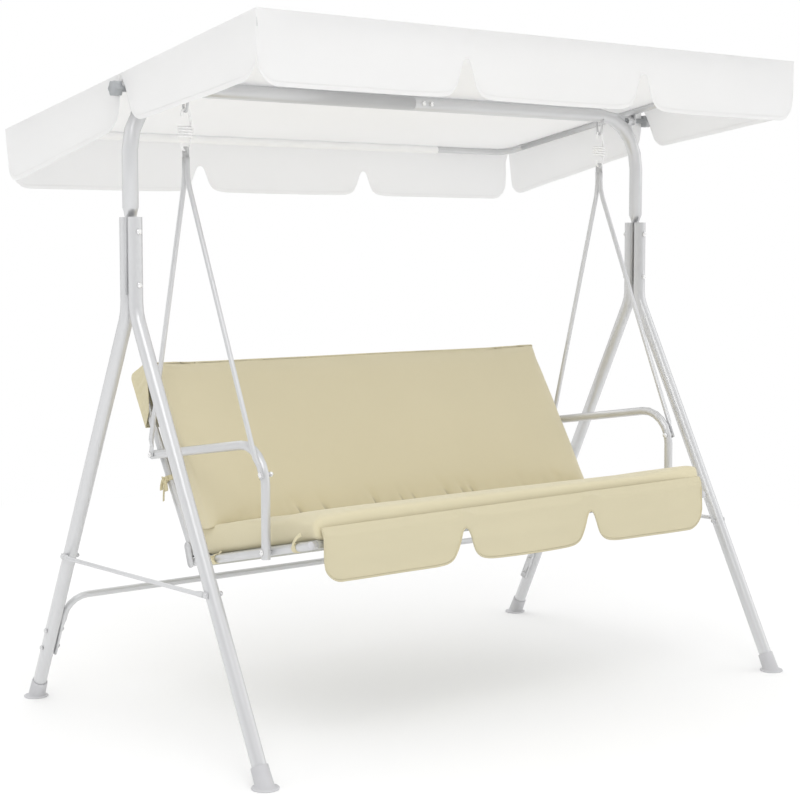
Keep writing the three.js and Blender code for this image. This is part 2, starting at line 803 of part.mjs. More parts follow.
sides.forEach(([label, side]) => {
  const x = side * armX;
  const path = new BentPath([
    at(x, rearHang[0] + armRearTail, rearHangHeight - armRearTail * armRise),
    at(x, -frontHangReach, armCornerHeight),
    at(x, -frontHangReach, armLowerHeight)
  ], acrossX, { radius: armBendRadius });
  const holes = [frontHang, rearHang, armRailBolt].map((place) => (
    rod(sidePoint(x - armRadius - cutOver, place), sidePoint(x + armRadius + cutOver, place), boltHole)));
  const bar = cut(tube(path, armRadius, midSides, armRadius - tubeWall), holes);
  addPiece(`armrest_${label}`, bar, paint);
});

// Seat and back frames
function straightTube(from, to, radius, bore) {
  const normal = Math.abs(to.clone().sub(from).normalize().x) > 1 / 2 ? alongY : acrossX;
  return tube(new BentPath([from, to], normal), radius, midSides, bore);
}

const railBore = railRadius - tubeWall;

function outerHole(side, place, radius) {
  return rod(sidePoint(side * (railHalfWidth + railRadius / 2), place),
    sidePoint(side * (railHalfWidth + railRadius + cutOver), place), radius);
}

sides.forEach(([label, side]) => {
  const x = side * railHalfWidth;
  const through = (place) => rod(sidePoint(x - railRadius - cutOver, place),
    sidePoint(x + railRadius + cutOver, place), boltHole);
  const rivetHole = rivetDiameter / 2 + fitGap;
  const railEnd = sidePoint(x, onSeat(-railTail));
  const railFront = sidePoint(x, onSeat(frontRailPlace + railRadius));
  addPiece(`seat_side_rail_${label}`, cut(straightTube(railEnd, railFront, railRadius, railBore), [
    through(armRailBolt),
    outerHole(side, onSeat(-gussetRailPlace), rivetHole)
  ]), paint);
  const uprightTop = sidePoint(x, onBack(backFrameLength - topRailLegLength - fitGap));
  addPiece(`back_upright_${label}`, cut(straightTube(sidePoint(x, onBack(uprightStart)), uprightTop,
    railRadius, railBore), [
    through(rearHang),
    outerHole(side, onBack(gussetUprightPlace), rivetHole)
  ]), paint);
});

const innerRailEnd = railHalfWidth - railRadius - fitGap;
[['seat_front_rail', frontRailPlace], ['seat_rear_rail', rearRailPlace]].forEach(([name, place]) => {
  const ends = [-innerRailEnd, innerRailEnd].map((x) => sidePoint(x, onSeat(place)));
  addPiece(name, straightTube(ends[0], ends[1], railRadius, railBore), paint);
});

const topRailEnd = backFrameLength - topRailLegLength;
const topRailPath = new BentPath([
  sidePoint(-railHalfWidth, onBack(topRailEnd)),
  sidePoint(-railHalfWidth, onBack(backFrameLength)),
  sidePoint(railHalfWidth, onBack(backFrameLength)),
  sidePoint(railHalfWidth, onBack(topRailEnd))
], at(0, ...backRear), { radius: topRailBendRadius });
const sleeves = sides.map(([, side]) => rod(sidePoint(side * railHalfWidth, onBack(topRailEnd - sleeveLength)),
  sidePoint(side * railHalfWidth, onBack(topRailEnd + railRadius)), railBore - fitGap));
const topRailBore = tube(new BentPath([
  sidePoint(-railHalfWidth, onBack(topRailEnd - sleeveLength - cutOver)),
  sidePoint(-railHalfWidth, onBack(backFrameLength)),
  sidePoint(railHalfWidth, onBack(backFrameLength)),
  sidePoint(railHalfWidth, onBack(topRailEnd - sleeveLength - cutOver))
], at(0, ...backRear), { radius: topRailBendRadius }), railBore - tubeWall, thinSides);
addPiece('back_top_rail', cut(joined([tube(topRailPath, railRadius, midSides), ...sleeves]), [topRailBore]), paint);

// Gussets: plates with two rivets over the elbow
function capsuleOutline([fromY, fromZ], [toY, toZ], radius) {
  const angle = Math.atan2(toZ - fromZ, toY - fromY);
  const outline = new THREE.Shape();
  outline.absarc(fromY, fromZ, radius, angle + Math.PI / 2, angle + (Math.PI * 3) / 2, false);
  outline.absarc(toY, toZ, radius, angle - Math.PI / 2, angle + Math.PI / 2, false);
  return outline;
}

function rivet(side, place) {
  const plateOuter = railHalfWidth + railRadius + fitGap + gussetThickness;
  const head = rod(sidePoint(side * (plateOuter - gussetThickness / 2), place),
    sidePoint(side * (plateOuter + rivetHeadHeight), place), rivetHeadDiameter / 2, midSides, rivetHeadDiameter / 4);
  const shank = rod(sidePoint(side * (railHalfWidth + railRadius - tubeWall), place),
    sidePoint(side * plateOuter, place), rivetDiameter / 2);
  return [head, shank];
}

sides.forEach(([label, side]) => {
  const places = [onSeat(-gussetRailPlace), onBack(gussetUprightPlace)];
  const inner = railHalfWidth + railRadius + fitGap;
  const plate = sidePlate(capsuleOutline(places[0], places[1], gussetRadius),
    side > 0 ? inner : -inner - gussetThickness, gussetThickness);
  addPiece(`gusset_${label}`, joined([plate, ...places.flatMap((place) => rivet(side, place))]), paint);
});

// Bolts of hangers and armrests, heads outside
sides.forEach(([label, side]) => {
  const inward = acrossX.clone().multiplyScalar(-side);
  const headX = hangerFlatX + hangerFlat + fitGap;
  const boltFrom = (outer, place, inner, name) => addPiece(name,
    boltGeometry(outer - inner + fitGap), zinc, sidePoint(side * outer, place), inward);
  boltFrom(headX, frontHang, armX - armRadius - fitGap, `hanger_bolt_front_${label}`);
  boltFrom(headX, rearHang, railHalfWidth - railRadius - fitGap, `hanger_bolt_rear_${label}`);
  boltFrom(armX + armRadius + fitGap, armRailBolt, railHalfWidth - railRadius - fitGap, `armrest_bolt_${label}`);
});

// Slings: woven panels from rail to rail, their ends wrapped round the rails
// A side of 1 passes a rail on the left of the run from the first rail to the second, and -1 on its right
function slingRun([start, end], [startSide, endSide], innerRadius) {
  const middle = innerRadius + slingThickness / 2;
  const apart = Math.hypot(end[0] - start[0], end[1] - start[1]);
  return Math.atan2(end[1] - start[1], end[0] - start[0]) + Math.asin(((endSide - startSide) * middle) / apart);
}

function slingGeometry(rails, railSides, innerRadius) {
  const [start, end] = rails;
  const [startSide, endSide] = railSides;
  const outerRadius = innerRadius + slingThickness;
  const run = slingRun(rails, railSides, innerRadius);
  const wrap = (Math.PI * 3) / 4;
  const outline = new THREE.Shape();
  const arc = ([y, z], side, face, from, to) => {
    const base = run + (side * Math.PI) / 2;
    outline.absarc(y, z, side === face ? outerRadius : innerRadius, base + from, base + to, to < from);
  };
  arc(end, endSide, 1, -endSide * wrap, 0);
  arc(start, startSide, 1, 0, startSide * wrap);
  arc(start, startSide, -1, startSide * wrap, 0);
  arc(end, endSide, -1, 0, -endSide * wrap);
  return closed(sidePlate(outline, -slingHalfWidth, 2 * slingHalfWidth));
}

const seatWrap = railRadius + fitGap;
const backWrap = seatWrap + slingThickness + fitGap;
addPiece('seat_sling', slingGeometry([onSeat(frontRailPlace), onSeat(rearRailPlace)], [1, 1], seatWrap),
  slingFabric);
const backRails = [onSeat(rearRailPlace), onBack(backFrameLength)];
const backSides = [-1, 1];
addPiece('back_sling', slingGeometry(backRails, backSides, backWrap), slingFabric);

// Cushions: a closed form with a crowned face, thinner at its ends, its sides drawn in
function cushionGeometry(toPlane, { length, thickness, endShift, base, settle }) {
  const stations = cushionStations;
  const round = cushionRound;
  const places = [];
  const faces = [];
  const power = (value, exponent) => Math.sign(value) * Math.abs(value) ** exponent;
  for (let i = 0; i <= stations; i += 1) {
    const across = Math.sin((Math.PI / 2) * ((2 * i) / stations - 1));
    const fade = (1 - Math.abs(across) ** cushionFadePower) ** (1 / 2);
    const thick = cushionEdgeShare + (1 - cushionEdgeShare) * fade;
    for (let j = 0; j < round; j += 1) {
      const angle = (2 * Math.PI * j) / round;
      const along = power(Math.cos(angle), cushionFlatShare);
      const rise = power(Math.sin(angle), cushionBulgeShare);
      const draw = cushionDrawIn * (1 - along * along);
      const crown = rise > 0 ? cushionCrown * (1 - along ** 4) * fade * rise : 0;
      const height = base + (thickness / 2) * (1 + rise * thick) + crown;
      const place = (length / 2) * (along + 1) + endShift(along, height);
      const x = across * (cushionHalfWidth - draw);
      const plane = toPlane(place, height + Math.min(rise, 0) * settle(place));
      places.push(x, plane[0], plane[1]);
    }
  }
  const ringStart = (i) => i * round;
  for (let i = 0; i < stations; i += 1) {
    for (let j = 0; j < round; j += 1) {
      const next = (j + 1) % round;
      const [a, b] = [ringStart(i) + j, ringStart(i) + next];
      const [c, d] = [ringStart(i + 1) + j, ringStart(i + 1) + next];
      faces.push(a, b, d, a, d, c);
    }
  }
  for (let j = 1; j < round - 1; j += 1) {
    faces.push(0, j + 1, j);
    faces.push(ringStart(stations), ringStart(stations) + j, ringStart(stations) + j + 1);
  }
  const geometry = new THREE.BufferGeometry();
  geometry.setAttribute('position', new THREE.Float32BufferAttribute(places, 3));
  geometry.setIndex(faces);
  return geometry;
}

// Turns a closed mesh right side out
function outward(geometry) {
  const places = geometry.attributes.position;
  const corners = geometry.index.array;
  let volume = 0;
  const [a, b, c] = [new THREE.Vector3(), new THREE.Vector3(), new THREE.Vector3()];
  for (let i = 0; i < corners.length; i += 3) {
    a.fromBufferAttribute(places, corners[i]);
    b.fromBufferAttribute(places, corners[i + 1]);
    c.fromBufferAttribute(places, corners[i + 2]);
    volume += a.dot(b.cross(c));
  }
  if (volume < 0) {
    geometry.setIndex(Array.from(corners).reverse());
  }
  return geometry;
}

const seatCushionBase = seatWrap + slingThickness + fitGap;
const backCushionBase = backWrap + slingThickness + fitGap;
const seatCushionTop = seatCushionBase + seatCushionThickness + cushionCrown;
const elbowTurn = Math.PI / 2 + radians(backSlope - seatSlope);
// The rear end of the seat cushion follows the slant of the back
const seatRear = (height) => (backCushionBase + fitGap) / Math.sin(elbowTurn) + height / Math.tan(elbowTurn);
addPiece('seat_cushion', outward(cushionGeometry((along, rise) => onSeat(along, rise), {
  length: seatCushionReach,
  thickness: seatCushionThickness,
  base: seatCushionBase,
  settle: () => 0,
  endShift: (along, height) => ((1 - along) / 2) * seatRear(height)
})), seatFabric);
// The lower end of the back cushion stands on the seat cushion, and its rear face follows the sling
const backSlingLean = slingRun(backRails, backSides, backWrap) - (Math.PI / 2 - radians(backSlope));
const backLowest = (depth) => (seatCushionTop + fitGap) / Math.sin(elbowTurn) + depth / Math.tan(elbowTurn);
addPiece('back_cushion', outward(cushionGeometry((along, depth) => onBack(along, -depth), {
  length: backCushionTop,
  thickness: backCushionThickness,
  base: backCushionBase,
  settle: (up) => Math.max(backFrameLength - up, 0) * Math.tan(backSlingLean),
  endShift: (along, depth) => ((1 - along) / 2) * backLowest(depth)
})), backFabric);

// Hood: a sheet over the top of the back frame with a hanging flap and closed ends
const hoodFront = backCushionBase + backCushionThickness - cushionCrown;
const hoodInner = Math.max(backWrap + slingThickness, backCushionTop - backFrameLength) + fitGap;
const hoodOuter = hoodInner + hoodThickness;
const topRailCentre = onBack(backFrameLength);
const hoodTurn = Math.PI / 2 - radians(backSlope);

// The hood in section: over the cushion, round the top rail, and down behind it
function hoodSection() {
  const [railY, railZ] = topRailCentre;
  const outline = new THREE.Shape();
  outline.moveTo(...onBack(backFrameLength + hoodOuter, -hoodFront));
  outline.lineTo(...onBack(backFrameLength + hoodInner, -hoodFront));
  outline.absarc(railY, railZ, hoodInner, hoodTurn, 0, true);
  outline.lineTo(railY + hoodInner - hoodFlapLean, railZ - hoodFlapDepth);
  outline.lineTo(railY + hoodOuter - hoodFlapLean, railZ - hoodFlapDepth);
  outline.absarc(railY, railZ, hoodOuter, 0, hoodTurn, false);
  return outline;
}

function hoodEnd() {
  const [railY, railZ] = topRailCentre;
  const middle = (hoodInner + hoodOuter) / 2;
  const outline = new THREE.Shape();
  outline.absarc(railY, railZ, middle, hoodTurn, 0, true);
  outline.lineTo(railY + middle - hoodFlapLean, railZ - hoodFlapDepth);
  outline.lineTo(...onBack(backUpAt(railZ - hoodFlapDepth), 0));
  outline.lineTo(...onBack(backFrameLength - topRailLegLength, -hoodInner));
  outline.lineTo(...onBack(backFrameLength + middle, -hoodInner));
  return outline;
}

addPiece('back_pocket', joined([
  sidePlate(hoodSection(), -hoodHalfWidth, 2 * hoodHalfWidth),
  sidePlate(hoodEnd(), -hoodHalfWidth, hoodThickness),
  sidePlate(hoodEnd(), hoodHalfWidth - hoodThickness, hoodThickness)
]), seatFabric);

// Hanging cloth: a thin sheet between a straight top edge and a scalloped bottom edge
// The rise of a bell-shaped notch at a distance from its middle
function bell(distance, halfWidth) {
  const share = Math.min(Math.abs(distance) / halfWidth, 1);
  return (1 - share ** bellTipShare) ** bellRootShare;
}

// The rise of a rounded end corner at a distance from the end
function roundEnd(distance, radius) {
  const share = Math.max(1 - distance / radius, 0);
  return radius * (1 - Math.sqrt(1 - share * share));
}

const fineShares = [-1, -0.45, -0.15, 0, 0.15, 0.45, 1];

function stationList(halfWidth, step, fine) {
  const count = Math.ceil((2 * halfWidth) / step);
  const list = Array.from({ length: count + 1 }, (_, i) => -halfWidth + (2 * halfWidth * i) / count);
  fine.forEach(([middle, reach]) => {
    fineShares.forEach((share) => list.push(middle + share * reach));
  });
  list.sort((a, b) => a - b);
  return list.filter((place, i) => i === 0 || place - list[i - 1] > 1 || i === list.length - 1);
}

function sheetGeometry(stations, rows, place, thickness) {
  const places = [];
  const faces = [];
  [-1, 1].forEach((face) => {
    stations.forEach((along) => {
      for (let row = 0; row <= rows; row += 1) {
        places.push(...place(along, row / rows, (face * thickness) / 2));
      }
    });
  });
  const width = rows + 1;
  const layer = stations.length * width;
  const index = (face, i, row) => face * layer + i * width + row;
  const quad = (a, b, c, d) => faces.push(a, b, c, a, c, d);
  for (let i = 0; i < stations.length - 1; i += 1) {
    for (let row = 0; row < rows; row += 1) {
      quad(index(0, i, row), index(0, i + 1, row), index(0, i + 1, row + 1), index(0, i, row + 1));
      quad(index(1, i, row + 1), index(1, i + 1, row + 1), index(1, i + 1, row), index(1, i, row));
    }
    quad(index(0, i, 0), index(1, i, 0), index(1, i + 1, 0), index(0, i + 1, 0));
    quad(index(0, i + 1, rows), index(1, i + 1, rows), index(1, i, rows), index(0, i, rows));
  }
  const last = stations.length - 1;
  for (let row = 0; row < rows; row += 1) {
    quad(index(0, 0, row), index(0, 0, row + 1), index(1, 0, row + 1), index(1, 0, row));
    quad(index(1, last, row), index(1, last, row + 1), index(0, last, row + 1), index(0, last, row));
  }
  const geometry = new THREE.BufferGeometry();
  geometry.setAttribute('position', new THREE.Float32BufferAttribute(places, 3));
  geometry.setIndex(faces);
  return outward(geometry);
}

// Seat skirt: hangs from the front edge of the seat cushion, in three scallops
const skirtReach = onSeat(seatCushionReach, seatCushionBase + seatCushionThickness / 2)[0]
  - 2 * fitGap - skirtThickness / 2;
const skirtNotchRise = skirtNotchHeight - skirtBottomHeight;

function skirtBottom(x) {
  const notch = [-1, 1].reduce((rise, side) => (
    Math.max(rise, skirtNotchRise * bell(x - side * skirtNotchPlace, skirtNotchHalfWidth))), 0);
  return skirtBottomHeight + Math.max(notch, roundEnd(skirtHalfWidth - Math.abs(x), skirtCornerRadius));
}

const skirtFine = [[-skirtNotchPlace, skirtNotchHalfWidth], [skirtNotchPlace, skirtNotchHalfWidth],
  [-skirtHalfWidth + skirtCornerRadius / 2, skirtCornerRadius / 2],
  [skirtHalfWidth - skirtCornerRadius / 2, skirtCornerRadius / 2]];
addPiece('seat_valance', sheetGeometry(stationList(skirtHalfWidth, skirtFoldPitch / 4, skirtFine), 1,
  (x, share, offset) => {
    const height = THREE.MathUtils.lerp(skirtTopHeight, skirtBottom(x), share);
    const fold = -skirtFold * share * (1 + Math.cos((2 * Math.PI * x) / skirtFoldPitch)) / 2;
    return [x, skirtReach + fold + offset, height];
  }, skirtThickness), seatFabric);

// Canopy: places on the sloping roof, from the pivot to the back and up from it
const slope = radians(canopySlope);
const onRoof = (toRear, rise) => [
  toRear * Math.cos(slope) + rise * Math.sin(slope),
  canopyPivotHeight - toRear * Math.sin(slope) + rise * Math.cos(slope)
];
const roofMiddle = roofRise - clothThickness / 2;
const roofEdge = (toRear) => onRoof(toRear, roofMiddle);
const canopyTubeRadius = canopyTubeDiameter / 2;
const tubeRise = roofRise - clothThickness - fitGap - canopyTubeRadius;

function roofGeometry() {
  const outline = new THREE.Shape();
  outline.moveTo(...onRoof(-canopyFrontReach, roofRise));
  outline.lineTo(...onRoof(-canopyFrontReach, roofRise - clothThickness));
  outline.lineTo(...onRoof(canopyRearReach, roofRise - clothThickness));
  outline.lineTo(...onRoof(canopyRearReach, roofRise));
  return sidePlate(outline, -canopyHalfWidth, 2 * canopyHalfWidth);
}

function endValance(toRear, depth, notchPlace, notchRise, outward) {
  const [reach, top] = roofEdge(toRear);
  const halfWidth = canopyHalfWidth - clothSlit;
  const inset = -outward * clothThickness / 2;
  const bottom = (x) => {
    const notch = [-1, 1].reduce((rise, side) => (
      Math.max(rise, notchRise * bell(x - side * notchPlace, valanceNotchHalfWidth))), 0);
    return top - depth + Math.max(notch, roundEnd(halfWidth - Math.abs(x), valanceCornerRadius));
  };
  const fine = [[-notchPlace, valanceNotchHalfWidth], [notchPlace, valanceNotchHalfWidth],
    [-halfWidth + valanceCornerRadius / 2, valanceCornerRadius / 2],
    [halfWidth - valanceCornerRadius / 2, valanceCornerRadius / 2]];
  return sheetGeometry(stationList(halfWidth, valanceFoldPitch / 2, fine), 1, (x, share, offset) => {
    const fold = -outward * valanceFold * share * (1 + Math.cos((2 * Math.PI * x) / valanceFoldPitch)) / 2;
    return [x, reach + inset + fold + offset, THREE.MathUtils.lerp(top, bottom(x), share)];
  }, clothThickness);
}

function sideValance(side, from, to, flareAt) {
  const middle = (from + to) / 2;
  const halfWidth = (to - from) / 2;
  const x = side * (canopyHalfWidth - clothThickness / 2);
  const fine = [[-halfWidth + valanceCornerRadius / 2, valanceCornerRadius / 2],
    [halfWidth - valanceCornerRadius / 2, valanceCornerRadius / 2]];
  return sheetGeometry(stationList(halfWidth, valanceFoldPitch / 2, fine), 1, (along, share, offset) => {
    const reach = middle + along;
    const top = canopyPivotHeight + (roofMiddle - reach * Math.sin(slope)) / Math.cos(slope);
    const flare = sideValanceFlare * Math.abs(reach / flareAt);
    const bottom = top - sideValanceDepth - flare + roundEnd(halfWidth - Math.abs(along), valanceCornerRadius);
    const fold = valanceFold * share * (1 + Math.cos((2 * Math.PI * along) / valanceFoldPitch)) / 2;
    return [x + side * (fold - valanceFold / 2) * share + offset, reach, THREE.MathUtils.lerp(top, bottom, share)];
  }, clothThickness);
}

const frontEdge = onRoof(-canopyFrontReach, roofMiddle)[0];
const rearEdge = onRoof(canopyRearReach, roofMiddle)[0];
const neckHole = knobNeckRadius + clothThickness;
const necks = sides.map(([, side]) => rod(
  at(side * (canopyHalfWidth - neckHole), 0, canopyPivotHeight),
  at(side * (canopyHalfWidth + neckHole), 0, canopyPivotHeight), neckHole));
const valances = sides.flatMap(([, side]) => [
  sideValance(side, frontEdge + clothSlit, -clothSlit, frontEdge),
  sideValance(side, clothSlit, rearEdge - clothSlit, rearEdge)
]);
addPiece('canopy_cloth', cut(joined([
  roofGeometry(),
  endValance(-canopyFrontReach, frontValanceDepth, frontNotchPlace, frontNotchRise, -1),
  endValance(canopyRearReach, rearValanceDepth, rearNotchPlace, rearNotchRise, 1),
  ...valances
]), necks), canopyFabric);

// Canopy frame: bent front and rear bars, and side bars that carry the pivot lugs
const bowEnd = canopyBendRadius * 2;

function bowGeometry(toRear, inward) {
  const corner = (side, shift) => sidePoint(side * canopySideBarPlace, onRoof(toRear + inward * shift, tubeRise));
  const path = new BentPath([corner(-1, bowEnd), corner(-1, 0), corner(1, 0), corner(1, bowEnd)],
    at(0, Math.sin(slope), Math.cos(slope)), { radius: canopyBendRadius });
  return tube(path, canopyTubeRadius, midSides);
}

const frontBarPlace = -canopyFrontReach + canopyBarInset;
const rearBarPlace = canopyRearReach - canopyBarInset;
addPiece('canopy_front_bar', bowGeometry(frontBarPlace, 1), paint);
addPiece('canopy_rear_bar', bowGeometry(rearBarPlace, -1), paint);

function lugPlate(side) {
  const [railY, railZ] = onRoof(0, tubeRise);
  const outline = new THREE.Shape();
  outline.absarc(0, canopyPivotHeight, lugRadius, Math.PI - slope, 2 * Math.PI - slope, false);
  outline.lineTo(railY + lugRadius, railZ - lugRadius * Math.tan(slope));
  outline.lineTo(railY - lugRadius, railZ + lugRadius * Math.tan(slope));
  return sidePlate(outline, side * canopySideBarPlace - lugThickness / 2, lugThickness);
}

sides.forEach(([label, side]) => {
  const x = side * canopySideBarPlace;
  const bar = straightTube(sidePoint(x, onRoof(frontBarPlace + bowEnd + fitGap, tubeRise)),
    sidePoint(x, onRoof(rearBarPlace - bowEnd - fitGap, tubeRise)), canopyTubeRadius, 0);
  const lugHole = rod(at(x - lugRadius, 0, canopyPivotHeight), at(x + lugRadius, 0, canopyPivotHeight), turnHole);
  addPiece(`canopy_side_bar_${label}`, cut(joined([bar, lugPlate(side)]), [lugHole]), paint);
});

// Brackets: a plate on the outside of each bend with a boss for the canopy's pivot bolt
const bossOuter = canopySideBarPlace - lugThickness / 2 - fitGap;
const bossInner = bossOuter - bossLength;
const bendCentre = [frameHalfWidth - barBendRadius, barHeight - barBendRadius];
const bracketArc = [72, 30].map(radians);

sides.forEach(([label, side]) => {
  const outline = new THREE.Shape();
  const arcRadius = barBendRadius + barRadius + fitGap;
  outline.absarc(bendCentre[0], bendCentre[1], arcRadius, bracketArc[1], bracketArc[0], false);
  outline.lineTo(bossInner, canopyPivotHeight + bossRadius);
  outline.lineTo(bossOuter - cutOver, canopyPivotHeight + bossRadius);
  outline.lineTo(bossOuter - cutOver, canopyPivotHeight - lugRadius - cutOver);
  const plate = new THREE.ExtrudeGeometry(outline, { depth: bracketThickness, bevelEnabled: false, curveSegments: 6 });
  plate.rotateX(Math.PI / 2);
  plate.translate(0, bracketThickness / 2, 0);
  const boss = rod(at(bossInner, 0, canopyPivotHeight), at(bossOuter, 0, canopyPivotHeight), bossRadius);
  const bore = rod(at(bossInner - cutOver, 0, canopyPivotHeight),
    at(bossOuter + cutOver, 0, canopyPivotHeight), turnHole);
  const nutRoom = rod(at(bossInner - nutHeight - boltTip - cutOver, 0, canopyPivotHeight),
    at(bossInner, 0, canopyPivotHeight), nutWidth / 2 + fitGap * 2);
  const bracket = cut(joined([plate, boss]), [bore, nutRoom]);
  if (side < 0) {
    bracket.rotateZ(Math.PI);
  }
  addPiece(`canopy_bracket_${label}`, bracket, paint);
});

// Knobs: a lobed head, a neck through the cloth and a bolt through lug and boss
const knobX = canopyHalfWidth + fitGap + clothThickness / 2;
sides.forEach(([label, side]) => {
  const lobes = Array.from({ length: knobLobes * lobeSteps }, (_, i) => {
    const angle = (2 * Math.PI * i) / (knobLobes * lobeSteps);
    const radius = knobRadius + knobLobe * Math.cos(knobLobes * angle);
    return new THREE.Vector2(radius * Math.cos(angle), radius * Math.sin(angle));
  });
  const head = new THREE.ExtrudeGeometry(new THREE.Shape(lobes), { depth: knobDepth, bevelEnabled: false });
  head.applyMatrix4(new THREE.Matrix4().makeBasis(alongY, upZ, acrossX));
  head.translate(knobX, 0, canopyPivotHeight);
  const lugOuter = canopySideBarPlace + lugThickness / 2 + fitGap;
  const neck = rod(at(lugOuter, 0, canopyPivotHeight), at(knobX + cutOver, 0, canopyPivotHeight), knobNeckRadius);
  const bolt = rod(at(bossInner - fitGap - nutHeight - boltTip, 0, canopyPivotHeight),
    at(knobX, 0, canopyPivotHeight), boltDiameter / 2);
  const nut = rod(at(bossInner - fitGap - nutHeight, 0, canopyPivotHeight),
    at(bossInner - fitGap, 0, canopyPivotHeight), nutWidth / 2, 6);
  const knob = joined([head, neck, bolt, nut]);
  if (side < 0) {
    knob.rotateZ(Math.PI);
  }
  addPiece(`canopy_knob_${label}`, knob, darkPlastic);
});

export default bench;
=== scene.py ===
import json
import math
import bpy
import numpy as np
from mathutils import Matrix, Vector, noise
from mathutils.bvhtree import BVHTree


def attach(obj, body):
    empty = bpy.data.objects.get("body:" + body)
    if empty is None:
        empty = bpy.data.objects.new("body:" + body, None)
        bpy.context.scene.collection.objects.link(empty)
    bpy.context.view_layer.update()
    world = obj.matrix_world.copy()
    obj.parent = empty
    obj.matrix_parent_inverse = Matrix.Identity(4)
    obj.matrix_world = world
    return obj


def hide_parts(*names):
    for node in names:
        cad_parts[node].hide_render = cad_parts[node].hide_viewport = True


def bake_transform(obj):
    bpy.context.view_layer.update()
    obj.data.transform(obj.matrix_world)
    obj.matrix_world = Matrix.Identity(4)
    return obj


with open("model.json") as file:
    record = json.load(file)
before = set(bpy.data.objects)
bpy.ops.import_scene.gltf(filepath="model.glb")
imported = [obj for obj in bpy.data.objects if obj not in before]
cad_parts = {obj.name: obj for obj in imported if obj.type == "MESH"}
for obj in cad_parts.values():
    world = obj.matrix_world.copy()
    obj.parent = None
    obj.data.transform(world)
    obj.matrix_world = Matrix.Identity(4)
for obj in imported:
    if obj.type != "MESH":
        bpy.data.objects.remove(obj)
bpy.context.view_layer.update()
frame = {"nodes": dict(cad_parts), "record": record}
scene = bpy.context.scene
nodes = frame["nodes"]
bodyOf = {node: body for body, members in frame["record"]["behaviour"]["bodies"].items() for node in members}
sides = {"left": -1, "right": 1}


# Shader values that add and multiply like numbers
class Signal:
    def __init__(self, tree, socket=None):
        self.tree = tree
        self.socket = socket

    def node(self, kind, settings=None, sockets=None, output=0):
        made = self.tree.nodes.new(kind)
        for name, value in (settings or {}).items():
            if name == "stops":
                stops = made.color_ramp.elements
                stops[0].position, stops[-1].position = value[0][0], value[-1][0]
                for place, _ in value[1:-1]:
                    stops.new(place)
                for stop, (_, shade) in zip(stops, value):
                    stop.color = (*shade, 1)
            else:
                setattr(made, name, value)
        for name, value in (sockets or {}).items():
            self.feed(made.inputs[name], value)
        return Signal(self.tree, made.outputs[output])

    def feed(self, target, value):
        if isinstance(value, Signal):
            self.tree.links.new(value.socket, target)
        elif hasattr(value, "__len__") and len(target.default_value) == 4 and len(value) == 3:
            target.default_value = (*value, 1)
        else:
            target.default_value = value

    def maths(self, operation, first, second):
        return self.node("ShaderNodeMath", {"operation": operation}, {0: first, 1: second})

    def __add__(self, other):
        return self.maths("ADD", self, other)

    def __radd__(self, other):
        return self.maths("ADD", other, self)

    def __sub__(self, other):
        return self.maths("SUBTRACT", self, other)

    def __rsub__(self, other):
        return self.maths("SUBTRACT", other, self)

    def __mul__(self, other):
        return self.maths("MULTIPLY", self, other)

    def __rmul__(self, other):
        return self.maths("MULTIPLY", other, self)

    def __truediv__(self, other):
        return self.maths("DIVIDE", self, other)


def linear(*shades):
    # the record and the photo give colours as they are seen
    return tuple((v / 12.92) if v <= 0.04045 else ((v + 0.055) / 1.055) ** 2.4 for v in shades)


def newFinish(name):
    finish = bpy.data.materials.new(name)
    finish.use_nodes = True
    shader = finish.node_tree.nodes["Principled BSDF"]
    return finish, shader, Signal(finish.node_tree)


def softNoise(start, place, scale, detail=3.0, roughness=0.5):
    return start.node("ShaderNodeTexNoise", {"noise_dimensions": "3D"},
                      {"Vector": place, "Scale": scale, "Detail": detail, "Roughness": roughness}, "Fac")


def mixColor(start, factor, first, second):
    return start.node("ShaderNodeMix", {"data_type": "RGBA"}, {0: factor, 6: first, 7: second}, 2)


def bumped(start, height, distance, strength=1.0, normal=None):
    sockets = {"Height": height, "Distance": distance, "Strength": strength}
    if normal:
        sockets["Normal"] = normal
    return start.node("ShaderNodeBump", None, sockets)


# Camera: the photograph's view
view = {"place": (-3.379, -4.061, 1.306), "tilt": 85.04, "turn": -39.39, "lens": 80.82}
bpy.ops.object.camera_add(location=view["place"],
                          rotation=(math.radians(view["tilt"]), 0, math.radians(view["turn"])))
camera = bpy.context.object
camera.data.lens = view["lens"]
camera.data.sensor_width = 36
camera.data.clip_end = 200
scene.camera = camera
scene.view_settings.view_transform = "Standard"
print("camera placed")

# Studio: a pale floor, a white surround and soft lamps
studio = {"floorSize": 90, "floorShade": 0.97, "fadeFrom": 2.0, "fadeOver": 2.2, "surround": 0.97, "mirrored": (1.05, 0.55),
          "key": ((-2.8, -3.2, 4.8), 3.2, 66), "fill": ((4.6, -2.2, 2.6), 3.0, 16), "rear": ((0.5, 4.4, 3.2), 3.0, 22)}


